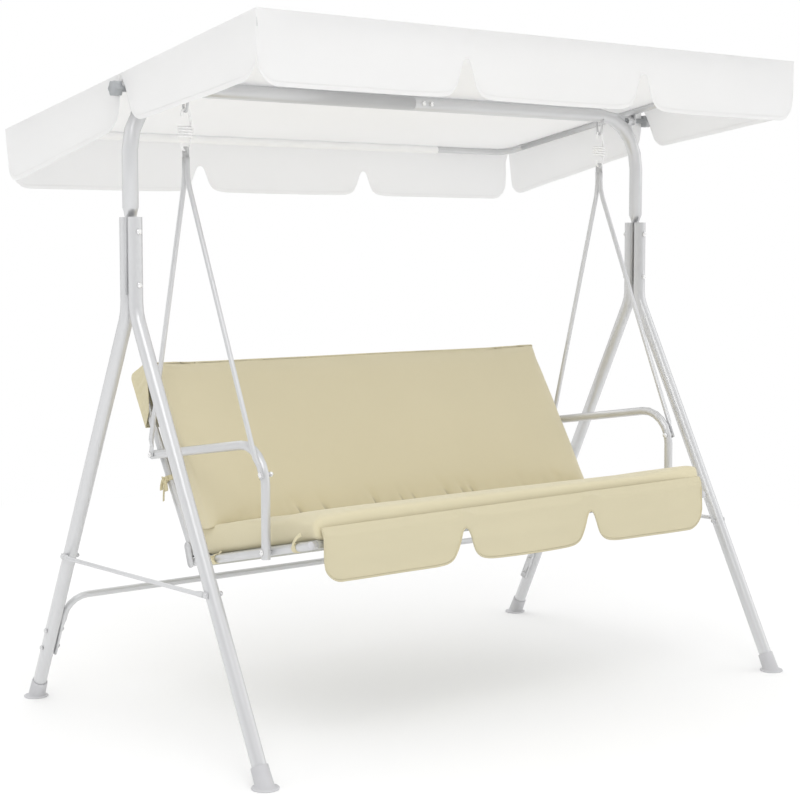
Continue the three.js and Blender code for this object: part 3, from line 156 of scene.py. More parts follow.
def makeStudio():
    bpy.ops.mesh.primitive_plane_add(size=studio["floorSize"])
    floor = bpy.context.object
    floor.name = "floor"
    finish, shader, start = newFinish("floorFinish")
    shader.inputs["Base Color"].default_value = (*[studio["floorShade"]] * 3, 1)
    shader.inputs["Roughness"].default_value = 0.9
    shader.inputs["Specular IOR Level"].default_value = 0.1
    place = start.node("ShaderNodeTexCoord", None, None, "Object")
    reach = start.node("ShaderNodeVectorMath", {"operation": "LENGTH"}, {0: place}, "Value")
    far = start.node("ShaderNodeMath", {"operation": "SUBTRACT", "use_clamp": True},
                     {0: reach / studio["fadeOver"], 1: studio["fadeFrom"] / studio["fadeOver"]})
    seen = start.node("ShaderNodeLightPath", None, None, "Is Camera Ray")
    white = start.node("ShaderNodeEmission", None, {"Color": (1, 1, 1), "Strength": 1.0})
    plain = Signal(start.tree, shader.outputs[0])
    mixed = start.node("ShaderNodeMixShader", None, {0: far * seen, 1: plain, 2: white})
    start.tree.links.new(mixed.socket, finish.node_tree.nodes["Material Output"].inputs["Surface"])
    floor.data.materials.append(finish)

    world = bpy.data.worlds.new("studio")
    scene.world = world
    world.use_nodes = True
    start = Signal(world.node_tree)
    path = start.tree.nodes.new("ShaderNodeLightPath")
    direct = start.maths("MAXIMUM", Signal(start.tree, path.outputs["Is Camera Ray"]),
                         Signal(start.tree, path.outputs["Is Transmission Ray"]))
    glossy = Signal(start.tree, path.outputs["Is Glossy Ray"])
    light = world.node_tree.nodes["Background"]
    light.inputs["Color"].default_value = (1, 1, 1, 1)
    bright, dimmed = studio["mirrored"]
    ahead = camera.rotation_euler.to_matrix() @ Vector((0, 0, -1))
    towards = start.node("ShaderNodeTexCoord", None, None, "Generated")
    facing = start.node("ShaderNodeVectorMath", {"operation": "DOT_PRODUCT"}, {0: towards, 1: tuple(ahead)}, "Value")
    facing = start.node("ShaderNodeMath", {"operation": "POWER"},
                        {0: start.node("ShaderNodeMath", {"operation": "ABSOLUTE"}, {0: facing}), 1: 1.6})
    strength = (studio["surround"] + direct * (1 - studio["surround"])
                + glossy * (bright - studio["surround"] - facing * dimmed))
    start.tree.links.new(strength.socket, light.inputs["Strength"])

    for name in ("key", "fill", "rear"):
        place, size, power = studio[name]
        aim = (Vector((0, 0, 0.8)) - Vector(place)).to_track_quat("-Z", "Y").to_euler()
        bpy.ops.object.light_add(type="AREA", location=place, rotation=aim)
        lamp = bpy.context.object
        lamp.name = f"lamp_{name}"
        lamp.data.shape = "SQUARE"
        lamp.data.size = size
        lamp.data.energy = power


makeStudio()
print("studio lit")


# Finishes
def paintFinish():
    finish, shader, start = newFinish("framePaint")
    place = start.node("ShaderNodeTexCoord", None, None, "Object")
    drift = softNoise(start, place, 3.5, 4)
    peel = softNoise(start, place, 900, 2)
    pits = softNoise(start, place, 140, 2)
    shade = mixColor(start, drift, linear(0.80, 0.802, 0.808), linear(0.855, 0.858, 0.862))
    start.feed(shader.inputs["Base Color"], shade)
    start.feed(shader.inputs["Roughness"], 0.31 + 0.05 * pits)
    shader.inputs["Coat Weight"].default_value = 0.35
    shader.inputs["Coat Roughness"].default_value = 0.18
    shader.inputs["Metallic"].default_value = 0.42
    start.feed(shader.inputs["Normal"], bumped(start, peel, 0.00002, 0.4))
    return finish


def metalFinish(name, low, high, roughness, scratch, metallic):
    finish, shader, start = newFinish(name)
    place = start.node("ShaderNodeTexCoord", None, None, "Object")
    spangle = start.node("ShaderNodeTexVoronoi", {"feature": "F1"}, {"Vector": place, "Scale": 260.0}, "Color")
    grain = start.node("ShaderNodeSeparateColor", None, {"Color": spangle}, "Red")
    lines = softNoise(start, place, 700, 3)
    start.feed(shader.inputs["Base Color"], mixColor(start, grain, linear(*[low] * 3), linear(*[high] * 3)))
    start.feed(shader.inputs["Roughness"], roughness + 0.14 * grain)
    shader.inputs["Metallic"].default_value = metallic
    start.feed(shader.inputs["Normal"], bumped(start, lines, scratch, 0.4))
    return finish


def plasticFinish(name, low, high, roughness):
    finish, shader, start = newFinish(name)
    place = start.node("ShaderNodeTexCoord", None, None, "Object")
    drift = softNoise(start, place, 18, 3)
    grain = softNoise(start, place, 1500, 2)
    scuff = softNoise(start, place, 60, 4, 0.65)
    start.feed(shader.inputs["Base Color"], mixColor(start, drift, linear(*low), linear(*high)))
    start.feed(shader.inputs["Roughness"], roughness + 0.2 * scuff)
    start.feed(shader.inputs["Normal"], bumped(start, grain, 0.00015, 0.5))
    return finish


def weave(start, place, thread):
    # plain weave: warp over weft, then under
    across = start.node("ShaderNodeSeparateXYZ", None, {0: place}, "X")
    along = start.node("ShaderNodeSeparateXYZ", None, {0: place}, "Y")
    turn = 2 * math.pi / thread
    warp = start.node("ShaderNodeMath", {"operation": "SINE"}, {0: across * turn})
    weft = start.node("ShaderNodeMath", {"operation": "SINE"}, {0: along * turn})
    return 0.5 + 0.5 * (warp * weft)


def clothFinish(name, low, high, thread, place, start, finish, shader, seam=None, sheen=0.25, stitchAndCreaseShade=0.86):
    threads = weave(start, place, thread)
    stretched = start.node("ShaderNodeMapping", None, {"Vector": place, "Scale": (30, 900, 30)})
    slub = softNoise(start, stretched, 1.0, 2)
    drift = softNoise(start, place, 2.6, 4, 0.55)
    creases = softNoise(start, place, 7.0, 3, 0.45)
    tone = 0.62 * drift + 0.2 * slub + 0.18 * threads
    shade = mixColor(start, tone, linear(*low), linear(*high))
    normal = bumped(start, creases, 0.004, 0.35)
    normal = bumped(start, threads, thread * 0.22, 0.35, normal)
    # the seam mix darkens the colour: stitch lines on sheets, painted shade on the back cushion's creases
    if seam:
        shade = mixColor(start, seam, shade, linear(*[v * stitchAndCreaseShade for v in low]))
        normal = bumped(start, 1 - seam, 0.0012, 0.8, normal)
    start.feed(shader.inputs["Base Color"], shade)
    start.feed(shader.inputs["Roughness"], 0.82 + 0.12 * slub)
    shader.inputs["Sheen Weight"].default_value = sheen
    shader.inputs["Sheen Roughness"].default_value = 0.6
    shader.inputs["Specular IOR Level"].default_value = 0.3
    start.feed(shader.inputs["Normal"], normal)
    return finish


def cushionFinish(name, low, high, turn, middle, creases=()):
    # the weave lies in the plane of the cushion; painted shade darkens short creases that fan up from its lower seam
    finish, shader, start = newFinish(name)
    place = start.node("ShaderNodeTexCoord", None, None, "Object")
    flat = start.node("ShaderNodeMapping", {"vector_type": "TEXTURE"},
                      {"Vector": place, "Location": middle, "Rotation": (turn, 0, 0)})
    drawn = None
    # painted shade: dark streaks on the creases, strongest at the seam and fading up the cushion
    if creases:
        across = start.node("ShaderNodeSeparateXYZ", None, {0: flat}, "X")
        away = start.node("ShaderNodeSeparateXYZ", None, {0: flat}, "Y") - creases["seam"]
        stops = [(0.0, (0, 0, 0))]
        for spot, depth in creases["places"]:
            middleSpot, half = (spot + 0.75) / 1.5, creases["width"] / 1.5
            stops += [(middleSpot - half, (0, 0, 0)), (middleSpot, [depth] * 3), (middleSpot + half, (0, 0, 0))]
        paintedCreaseShade = start.node("ShaderNodeValToRGB", {"stops": stops + [(1.0, (0, 0, 0))]},
                           {"Fac": (across + creases["lean"] * away + 0.75) / 1.5})
        fade = start.node("ShaderNodeMapRange", None, {0: away, 1: 0.004, 2: creases["length"], 3: 1.0, 4: 0.0})
        drawn = start.maths("MULTIPLY", paintedCreaseShade, fade)
    return clothFinish(name, low, high, 0.0011, flat, start, finish, shader, drawn, stitchAndCreaseShade=0.36)


def clothOnly(name, low, high, thread):
    finish, shader, start = newFinish(name)
    place = start.node("ShaderNodeTexCoord", None, None, "Object")
    return clothFinish(name, low, high, thread, place, start, finish, shader)


def sheetFinish(name, low, high, thread, stitches=(), light=0.0, sheen=0.2, stitchAndCreaseShade=0.88):
    # UV runs in metres over the flat cut; stitches are lines at a V
    finish, shader, start = newFinish(name)
    place = start.node("ShaderNodeTexCoord", None, None, "UV")
    along = start.node("ShaderNodeSeparateXYZ", None, {0: place}, "X")
    down = start.node("ShaderNodeSeparateXYZ", None, {0: place}, "Y")
    seam = None
    for stitch in stitches:
        away = start.node("ShaderNodeMath", {"operation": "ABSOLUTE"}, {0: down - stitch})
        line = start.node("ShaderNodeMapRange", {"interpolation_type": "SMOOTHSTEP"},
                          {0: away, 1: 0.0004, 2: 0.0016, 3: 1.0, 4: 0.0})
        pulse = start.node("ShaderNodeMath", {"operation": "SINE"}, {0: along * (2 * math.pi / 0.0052)})
        line = line * (0.55 + 0.45 * pulse)
        seam = line if seam is None else start.maths("MAXIMUM", seam, line)
    clothFinish(name, low, high, thread, place, start, finish, shader, seam, sheen, stitchAndCreaseShade)
    if light:
        # daylight comes through the thin roof cloth
        glow = start.node("ShaderNodeBsdfTranslucent", None, {"Color": linear(*high)})
        mixed = start.node("ShaderNodeMixShader", None,
                           {0: light, 1: Signal(start.tree, shader.outputs[0]), 2: glow})
        start.tree.links.new(mixed.socket, finish.node_tree.nodes["Material Output"].inputs["Surface"])
    return finish


seatSlope, backSlope = math.radians(12.1), math.radians(30.6)
elbow = np.array([0.036, 0.442])
# the creases' places and painted shade depths for the back's cloth; their lean also slants the puckers in its shape
creases = {"places": ((-0.402, 0.9), (-0.314, 0.8), (-0.128, 0.9), (-0.030, 0.6), (0.016, 0.7), (0.149, 1.0),
                      (0.213, 0.9), (0.250, 1.0)),
           "width": 0.0058, "lean": 0.55, "length": 0.036, "seam": 0.0615}
finishes = {
    "frame_paint": paintFinish(),
    "bolt_zinc": metalFinish("boltZinc", 0.90, 0.98, 0.24, 0.00006, 0.45),
    "spring_steel": metalFinish("springSteel", 0.96, 1.0, 0.34, 0.00002, 0.0),
    "foot_plastic": plasticFinish("footPlastic", (0.76, 0.76, 0.77), (0.83, 0.83, 0.84), 0.42),
    "knob_plastic": plasticFinish("knobPlastic", (0.58, 0.59, 0.60), (0.72, 0.73, 0.74), 0.28),
    "seat_fabric": cushionFinish("seatFabric", (0.815, 0.78, 0.655), (0.86, 0.825, 0.70),
                                 -seatSlope, (0, float(elbow[0]), float(elbow[1]))),
    # the back is the seat's cloth, its base colour set a little darker as painted shade
    "back_fabric": cushionFinish("backFabric", (0.803, 0.767, 0.644), (0.85, 0.812, 0.69),
                                 math.pi / 2 - backSlope, (0, float(elbow[0]), float(elbow[1])), creases),
}
# the skirt is the seat's cloth, its base colour set darker than the seat's as painted shade
finishes["skirtFabric"] = sheetFinish("skirtFabric", (0.782, 0.749, 0.631), (0.83, 0.796, 0.675), 0.0011, (0.006,))
finishes["hoodFabric"] = sheetFinish("hoodFabric", (0.80, 0.765, 0.635), (0.86, 0.825, 0.69), 0.0011, (0.008,))
finishes["tieFabric"] = clothOnly("tieFabric", (0.80, 0.765, 0.63), (0.86, 0.825, 0.69), 0.0011)
finishes["sling_weave"] = sheetFinish("slingWeave", (0.66, 0.66, 0.63), (0.80, 0.80, 0.77), 0.0034, (0.05, 0.062))
finishes["sleeveFabric"] = sheetFinish("sleeveFabric", (0.97, 0.97, 0.97), (0.985, 0.985, 0.985), 0.0009)
finishes["canopy_fabric"] = sheetFinish("canopyFabric", (0.957, 0.957, 0.957), (0.975, 0.975, 0.975), 0.0009,
                                        (0.011,), 0.52, 0.1, 0.97)
print("finishes mixed")


# Small tools
def alone(obj):
    bpy.ops.object.select_all(action="DESELECT")
    obj.select_set(True)
    bpy.context.view_layer.objects.active = obj


def inEditMode(obj, *steps):
    alone(obj)
    bpy.ops.object.mode_set(mode="EDIT")
    bpy.ops.mesh.select_mode(type="VERT")
    bpy.ops.mesh.select_all(action="SELECT")
    for step in steps:
        step()
    bpy.ops.object.mode_set(mode="OBJECT")


def merged(distance=1e-5):
    return lambda: bpy.ops.mesh.remove_doubles(threshold=distance)


def outwards():
    bpy.ops.mesh.normals_make_consistent(inside=False)


def smooth(obj, angle=40):
    alone(obj)
    bpy.ops.object.shade_smooth_by_angle(angle=math.radians(angle))


def applied(obj, kind, **settings):
    alone(obj)
    bpy.ops.object.modifier_add(type=kind)
    modifier = obj.modifiers[-1]
    for name, value in settings.items():
        setattr(modifier, name, value)
    bpy.ops.object.modifier_apply(modifier=modifier.name)


def settled(obj, finish, slotName, body=None):
    obj.data.materials.clear()
    obj.data.materials.append(finishes[finish])
    if body:
        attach(obj, body)
    return obj


def coordinates(obj):
    places = np.empty(len(obj.data.vertices) * 3, np.float32)
    obj.data.vertices.foreach_get("co", places)
    return places.reshape(-1, 3).astype(float)


def setCoordinates(obj, places):
    obj.data.vertices.foreach_set("co", np.ascontiguousarray(places, np.float32).ravel())
    obj.data.update()


def copyOfNode(node, name):
    piece = bpy.data.objects.new(name, nodes[node].data.copy())
    scene.collection.objects.link(piece)
    inEditMode(piece, merged())
    return piece


def onSeat(forward, rise=0.0):
    return (elbow[0] - forward * math.cos(seatSlope) + rise * math.sin(seatSlope),
            elbow[1] + forward * math.sin(seatSlope) + rise * math.cos(seatSlope))


def onBack(up, behind=0.0):
    return (elbow[0] + up * math.sin(backSlope) + behind * math.cos(backSlope),
            elbow[1] + up * math.cos(backSlope) - behind * math.sin(backSlope))


# A grid whose points a rule lays out; UV in metres over the flat cut
def laidGrid(name, columns, rows, place, flat=None, lift=0.0):
    bpy.ops.object.select_all(action="DESELECT")
    bpy.ops.mesh.primitive_grid_add(x_subdivisions=columns, y_subdivisions=rows, size=1)
    piece = bpy.context.object
    piece.name = name
    mesh = piece.data
    mesh.name = name
    shares = coordinates(piece)[:, :2] + 0.5
    setCoordinates(piece, [place(u, v) for u, v in shares])
    width, length = flat or (1, 1)
    layer = mesh.uv_layers.active.data
    for loop in mesh.loops:
        u, v = shares[loop.vertex_index]
        layer[loop.index].uv = (u * width, v * length + lift)
    return piece


def joinedAs(name, pieces):
    bpy.ops.object.select_all(action="DESELECT")
    for piece in pieces:
        piece.select_set(True)
    bpy.context.view_layer.objects.active = pieces[0]
    bpy.ops.object.join()
    pieces[0].name = name
    return pieces[0]


# A round or flat section swept along points
def swept(name, points, section, closed=False, upright=(0, 0, 1)):
    points = [Vector(p) for p in points]
    count, around = len(points), len(section)
    frames = []
    side = None
    for i, point in enumerate(points):
        ahead = points[(i + 1) % count] if closed or i < count - 1 else point
        behind = points[i - 1] if closed or i > 0 else point
        run = (ahead - behind).normalized()
        if side is None:
            reference = Vector(upright)
            if abs(run.dot(reference)) > 0.95:
                reference = Vector((1, 0, 0))
            side = run.cross(reference).normalized()
        side = (side - run * side.dot(run)).normalized()
        frames.append((point, side, side.cross(run).normalized()))

    def place(u, v):
        point, across, up = frames[round(u * (count if closed else count - 1)) % count]
        a, b = section[round(v * around) % around]
        return point + across * a + up * b

    piece = laidGrid(name, count if closed else count - 1, around, place)
    steps = [merged(1e-6)]
    if not closed:
        steps += [lambda: bpy.ops.mesh.select_non_manifold(extend=False), lambda: bpy.ops.mesh.edge_face_add(),
                  lambda: bpy.ops.mesh.select_all(action="SELECT")]
    inEditMode(piece, *steps, outwards)
    return piece


def roundSection(radius, count=14):
    return [(radius * math.cos(2 * math.pi * k / count), radius * math.sin(2 * math.pi * k / count))
            for k in range(count)]


def bandSection(width, thickness, count=10):
    return [(thickness / 2 * math.cos(2 * math.pi * k / count), width / 2 * math.sin(2 * math.pi * k / count))
            for k in range(count)]


# Hard pieces: smooth copies of the frame's nodes with their paint, zinc and plastic
slotOf = {row["node"]: row["material_slot"] for row in frame["record"]["subparts"]}
hardSlots = ("frame_paint", "bolt_zinc", "foot_plastic", "knob_plastic")
for node, slotName in slotOf.items():
    if slotName in hardSlots:
        piece = copyOfNode(node, f"{node}_made")
        smooth(piece, 35 if slotName == "frame_paint" else 32)
        settled(piece, slotName, slotName, bodyOf[node])
        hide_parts(node)
print("frame pieces painted")

# Springs: hooks and coils of one bent wire
spring = {"x": 0.7776, "wire": 0.0031, "radius": 0.0178, "coils": 4, "pitch": 0.0074, "top": 1.6165,
          "hook": 0.0122, "upperTop": 1.6608, "lower": 1.553}


def springPoints(x):
    radius, hook = spring["radius"], spring["hook"]

    def arch(middle, upward):  # a hook in the XZ plane, from its open tip to its run down to the coil
        turn = np.linspace(math.pi, 0, 15)
        return [(-hook, 0, middle - upward * hook * 0.6)] + [
            (hook * math.cos(a), 0, middle + upward * hook * math.sin(a)) for a in turn]

    points = arch(spring["upperTop"] - hook, 1)
    for k in range(spring["coils"] * 24 + 1):
        angle = 2 * math.pi * k / 24
        points.append((radius * math.cos(angle), radius * math.sin(angle), spring["top"] - spring["pitch"] * k / 24))
    points += reversed(arch(spring["lower"] + hook, -1))
    return [(x + p[0], p[1], p[2]) for p in points]


for label, side in sides.items():
    wire = swept(f"spring_{label}_made", springPoints(side * spring["x"]), roundSection(spring["wire"], 12))
    smooth(wire, 60)
    settled(wire, "spring_steel", "spring_steel")
    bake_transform(wire)
    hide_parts(f"spring_{label}")
print("springs wound")

# Cushions: a bevelled block of each cover's size, blown up as stuffed cloth
cushions = {
    "seat_cushion": {"block": (1.432, 0.545, 0.066), "edge": 0.013, "voxel": 0.009, "pressure": 4.0, "cap": 0.012,
                     "fill": 0.7, "finish": "seat_fabric", "base": 0.0136, "front": 0.5602, "reach": 0.5545,
                     "side": 0.7285, "top": 0.0925, "sag": 0.0030},
    "back_cushion": {"block": (1.422, 0.480, 0.076), "edge": 0.012, "voxel": 0.009, "pressure": 4.0, "cap": 0.012,
                     "fill": 0.75, "finish": "back_fabric", "base": 0.0159, "high": 0.5785, "fall": 0.09,
                     "side": 0.7235, "top": 0.1065, "rest": 0.0916},
}
elbowTurn = math.radians(90 + 18.5)
puckers = {"places": (-0.402, -0.314, -0.128, -0.030, 0.016, 0.149, 0.213, 0.250, 0.45),
           "depths": (11, 9, 11, 6, 7, 12, 10, 11, 4), "width": 0.0062, "length": 0.022}


def stuffed(node, care):
    bpy.ops.object.select_all(action="DESELECT")
    bpy.ops.mesh.primitive_cube_add(size=1)
    piece = bpy.context.object
    piece.name = piece.data.name = f"{node}_made"
    setCoordinates(piece, coordinates(piece) * care["block"])
    inEditMode(piece, lambda: bpy.ops.mesh.bevel(offset=care["edge"], segments=3, affect="EDGES"))
    piece.data.remesh_voxel_size = care["voxel"]
    alone(piece)
    bpy.ops.object.voxel_remesh()
    start = coordinates(piece)
    alone(piece)
    bpy.ops.object.modifier_add(type="CLOTH")
    cloth = piece.modifiers[-1]
    cloth.settings.use_pressure = True
    cloth.settings.uniform_pressure_force = care["pressure"]
    cloth.settings.effector_weights.gravity = 0
    cloth.settings.quality = 4
    cloth.settings.tension_stiffness = 25
    cloth.settings.compression_stiffness = 25
    cloth.settings.bending_stiffness = 1.2
    for step in range(1, 21):
        scene.frame_set(step)
    bpy.ops.object.modifier_apply(modifier=cloth.name)
    travel = coordinates(piece) - start
    reach = np.linalg.norm(travel, axis=1, keepdims=True)
    setCoordinates(piece, start + travel * np.minimum(1, care["cap"] / np.maximum(reach, 1e-9)))
    scene.frame_set(1)
    applied(piece, "SUBSURF", levels=1, render_levels=1)
    return piece


def eased(values, low, high):
    # 0 below low, 1 above high
    share = np.clip((values - low) / (high - low), 0, 1)
    return share * share * (3 - 2 * share)


def held(values, limit, soft=0.0022):
    # a limit that rounds off instead of cutting
    return limit - soft * np.logaddexp(0, (limit - values) / soft)


def ruffled(x, along, scale, seed):
    return np.array([noise.noise(Vector((a * scale[0], b * scale[1], seed))) for a, b in zip(x, along)])


def puckered(x, away, sharp=1.0):
    # short creases that fan out from a seam
    depth = np.zeros_like(x)
    for place, amount in zip(puckers["places"], puckers["depths"]):
        lean = x - place + creases["lean"] * away
        width = puckers["width"] * (1 + away / 0.03)
        depth += amount / 1000 * np.exp(-(lean / width) ** 2) * np.exp(-away / (puckers["length"] * (0.6 + amount / 12)))
    return depth * sharp


def makeSeatCushion():
    care = cushions["seat_cushion"]
    piece = stuffed("seat_cushion", care)
    x, along, thick = coordinates(piece).T
    width, length, height = care["block"]
    share = along / length + 0.5
    rise = care["base"] + thick + height / 2
    rear = (0.0159 + 0.0003) / math.sin(elbowTurn) + rise / math.tan(elbowTurn)
    forward = rear + share * (care["reach"] - rear)
    ends = eased(np.abs(x), 0.700, 0.722)
    upper = eased(rise, 0.055, 0.080)
    # the stuffing dips where people sit; it settles at the left front corner and stays square at the right one
    rise = rise + upper * (0.0030 * ruffled(x, forward, (2.6, 3.4), 0.4) + 0.0012 * ruffled(x, forward, (9, 11), 3.4))
    loose = np.exp(-((x + 0.722) / 0.12) ** 2) * eased(forward, 0.40, 0.56)
    square = np.exp(-((x - 0.722) / 0.16) ** 2) * eased(forward, 0.36, 0.52)
    rear = eased(np.abs(x), 0.58, 0.70) * (1 - eased(forward, 0.16, 0.36))
    rise = rise + upper * (0.009 * square + 0.016 * rear - 0.007 * loose)
    # full under the back's lower edge, so that the two meet
    rise = rise + upper * 0.009 * (1 - eased(forward, 0.15, 0.30))
    forward = forward + 0.012 * square * eased(forward, 0.50, 0.55)
    out = np.abs(x) + eased(np.abs(x), 0.69, 0.72) * (0.010 * square + 0.010 * rear + 0.020 * loose * (1 - upper))
    base = care["base"] - care["sag"] * ends - 0.0022 * loose
    rise = rise - 0.004 * loose * (1 - upper)
    # sewn edges pull small creases into the sides and the front
    gather = 0.0006 * np.sin(x * 2 * math.pi / 0.047 + 4 * ruffled(x, forward, (5, 2), 8.1)) * eased(forward, 0.50, 0.56)
    rise = rise + upper * gather
    side = 0.0012 * np.sin(forward * 2 * math.pi / 0.061 + 4 * ruffled(forward, rise, (7, 5), 4.4))
    out = held(out + side * eased(np.abs(x), 0.70, 0.72),
               care["side"] + 0.014 * loose - 0.019 * square * eased(forward, 0.42, 0.52))
    rise = rise - upper * puckered(x, np.abs(forward - 0.075), 0.5) * (forward < 0.2)
    forward = held(forward, care["front"])
    rise = np.maximum(held(rise, care["top"]), base)
    y, z = onSeat(forward, rise)
    setCoordinates(piece, np.stack([np.copysign(out, x), y, z], 1))
    smooth(piece, 80)
    settled(piece, "seat_fabric", "seat_fabric", "seat")
    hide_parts("seat_cushion")
    return piece


def makeBackCushion():
    care = cushions["back_cushion"]
    piece = stuffed("back_cushion", care)
    x, along, thick = coordinates(piece).T
    width, length, height = care["block"]
    share = along / length + 0.5
    ahead = care["base"] + thick + height / 2
    ahead = care["base"] + (ahead - care["base"]) * 1.05
    ends = eased(np.abs(x), 0.64, 0.72)
    rest = (care["rest"] - 0.009 * ends + 0.0003) / math.sin(elbowTurn) + ahead / math.tan(elbowTurn)
    high = care["high"] - care["fall"] * (ahead - care["base"])
    up = rest + 0.004 + share * (high - rest + 0.002)
    front = eased(ahead, 0.060, 0.088)
    # the lower front edge is drawn down on to the seat
    up = up - 0.024 * eased(ahead, 0.035, 0.085) * (1 - eased(up - rest, 0.0, 0.075))
    away = np.maximum(up - rest, 0)
    ahead = ahead - front * puckered(x, away)
    ahead = ahead + front * (0.0032 * ruffled(x, up, (2.1, 2.9), 2.4) + 0.0010 * ruffled(x, up, (8, 9), 6.4))
    gather = 0.0009 * np.sin(x * 2 * math.pi / 0.053 + 4 * ruffled(x, up, (5, 2), 9.3))
    ahead = ahead + front * gather * (1 - eased(away, 0.0, 0.06))
    # the sides bulge over the uprights
    behind = (1 - eased(ahead, 0.050, 0.085)) * (1 - eased(up, 0.42, 0.50))
    rows = np.clip(np.round(share * 30), 0, 30)
    widest = np.array([np.abs(x[np.abs(rows - row) < 1.5]).max() for row in range(31)])
    fill = (care["side"] - 0.001) / np.interp(share * 30, np.arange(31), widest)
    out = np.abs(x) * (1 + (fill - 1) * eased(np.abs(x), 0.55, 0.68)) + 0.020 * behind * eased(np.abs(x), 0.68, 0.715)
    out = held(out, care["side"] + 0.012 * behind)
    up = held(np.maximum(up, rest), high, 0.0018)
    ahead = held(np.maximum(ahead, care["base"]), care["top"])
    y, z = onBack(up, -ahead)
    setCoordinates(piece, np.stack([np.copysign(out, x), y, z], 1))
    smooth(piece, 80)
    settled(piece, "back_fabric", "back_fabric", "seat")
    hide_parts("back_cushion")
    return piece


seatCushion = makeSeatCushion()
backCushion = makeBackCushion()
print("cushions stuffed")

# Slings: woven panels wrapped round the rails
sling = {"halfWidth": 0.712, "inner": 0.0113, "thickness": 0.0018, "wrap": 0.75 * math.pi}


def slingLine(start, end, startSide, endSide, radius):
    apart = math.dist(start, end)
    run = math.atan2(end[1] - start[1], end[0] - start[0])
    run += math.asin((endSide - startSide) * radius / apart)
    points = []
    for k in range(13):
        turn = run + startSide * math.pi / 2 + startSide * sling["wrap"] * (1 - k / 12)
        points.append((start[0] + radius * math.cos(turn), start[1] + radius * math.sin(turn)))
    for k in range(13):
        turn = run + endSide * math.pi / 2 - endSide * sling["wrap"] * k / 12
        points.append((end[0] + radius * math.cos(turn), end[1] + radius * math.sin(turn)))
    return points


def lengthsOf(points):
    steps = [0.0]
    for a, b in zip(points, points[1:]):
        steps.append(steps[-1] + math.dist(a, b))
    return steps


def along(points, steps, share):
    goal = share * steps[-1]
    k = min(max(np.searchsorted(steps, goal) - 1, 0), len(points) - 2)
    part = (goal - steps[k]) / max(steps[k + 1] - steps[k], 1e-9)
    return [points[k][i] + (points[k + 1][i] - points[k][i]) * part for i in range(len(points[k]))]


def makeSling(node, rails, railSides, inner):
    middle = inner + 0.001
    points = slingLine(rails[0], rails[1], railSides[0], railSides[1], middle)
    steps = lengthsOf(points)
    width, length = 2 * sling["halfWidth"], steps[-1]

    def place(u, v):
        y, z = along(points, steps, v)
        return ((u - 0.5) * width, y, z)

    piece = laidGrid(f"{node}_made", 48, 120, place, (width, length))
    inEditMode(piece, outwards)
    applied(piece, "SOLIDIFY", thickness=sling["thickness"], offset=0)
    smooth(piece, 50)
    settled(piece, "sling_weave", "sling_weave", "seat")
    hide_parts(node)
    return piece


makeSling("seat_sling", (onSeat(0.527), onSeat(0.020)), (1, 1), sling["inner"])
makeSling("back_sling", (onSeat(0.020), onBack(0.564)), (-1, 1), sling["inner"] + 0.0023)
print("slings stretched")


# Skirt: hangs from the front of the seat cushion in three scallops
def arch(distance, narrow, wide):
    # a round-topped notch whose flanks run out into the scallops
    return 1 / (1 + (abs(distance) / (narrow if distance < 0 else wide)) ** 3.1)


def roundEnd(inwards, radius):
    gone = max(radius - inwards, 0)
    return radius - math.sqrt(max(radius ** 2 - gone ** 2, 0))


def areaOf(obj):
    return sum(face.area for face in obj.data.polygons)


skirt = {"halfWidth": 0.706, "reach": -0.5083, "top": 0.612, "bottom": 0.457, "notch": 0.237, "notchRise": 0.095,
         "notchSides": (0.025, 0.031), "corner": 0.056, "fold": 0.003, "pitch": 0.30, "thickness": 0.0014,
         "tuck": 0.0035, "askew": 0.0136}


def skirtBottom(x):
    notch = max(skirt["notchRise"] * arch(x - side * skirt["notch"], *skirt["notchSides"]) for side in (-1, 1))
    return skirt["bottom"] + max(notch, roundEnd(skirt["halfWidth"] - abs(x), skirt["corner"]))


seatSurface = BVHTree.FromObject(seatCushion, bpy.context.evaluated_depsgraph_get())


def tuckAt(x, height):
    hit = seatSurface.ray_cast(Vector((min(max(x, -0.70), 0.70), skirt["reach"] - 0.05, height)), Vector((0, 1, 0)), 0.08)[0]
    return skirt["tuck"] if hit is None else min(max(hit.y - 0.0012 - skirt["reach"], 0), 0.012)


def skirtPlace(x, share):
    # its seam runs a little lower at the left
    top = skirt["top"] - skirt["askew"] * (0.5 - x / (2 * skirt["halfWidth"]))
    height = top + (skirtBottom(x) - top) * share
    fold = skirt["fold"] * share * (1 + math.cos(2 * math.pi * x / skirt["pitch"])) / 2
    ripple = 0.0026 * noise.noise(Vector((x * 5, height * 9, 1.7))) * min(share * 3, 1)
    drawn = 0.0024 * noise.noise(Vector((x * 2.2 - height * 5, height * 24, 6.1))) * min(share * 5, 1)
    return (x, skirt["reach"] - fold + ripple + drawn + tuckAt(x, height) * max(1 - share * 6, 0), height)


def makeSkirt():
    half = skirt["halfWidth"]
    piece = laidGrid("seat_valance_made", 470, 34, lambda u, v: skirtPlace((2 * u - 1) * half, 1 - v),
                     (2 * half, skirt["top"] - skirt["bottom"]))
    inEditMode(piece, outwards)
    applied(piece, "SOLIDIFY", thickness=skirt["thickness"], offset=0)
    smooth(piece, 60)
    settled(piece, "skirtFabric", "seat_fabric", "seat")
    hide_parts("seat_valance")
    edge = []
    for k in range(301):
        x = (2 * k / 300 - 1) * half
        edge.append(skirtPlace(x, 0.985))
    edge = [skirtPlace(-half, 0.03), skirtPlace(-half, 0.35)] + edge + [skirtPlace(half, 0.35), skirtPlace(half, 0.03)]
    binding = swept("seat_valance_binding", edge, bandSection(0.007, 0.0034), upright=(0, 1, 0))
    smooth(binding, 60)
    settled(binding, "skirtFabric", "seat_fabric", "seat")
    return piece


makeSkirt()
print("skirt hung")

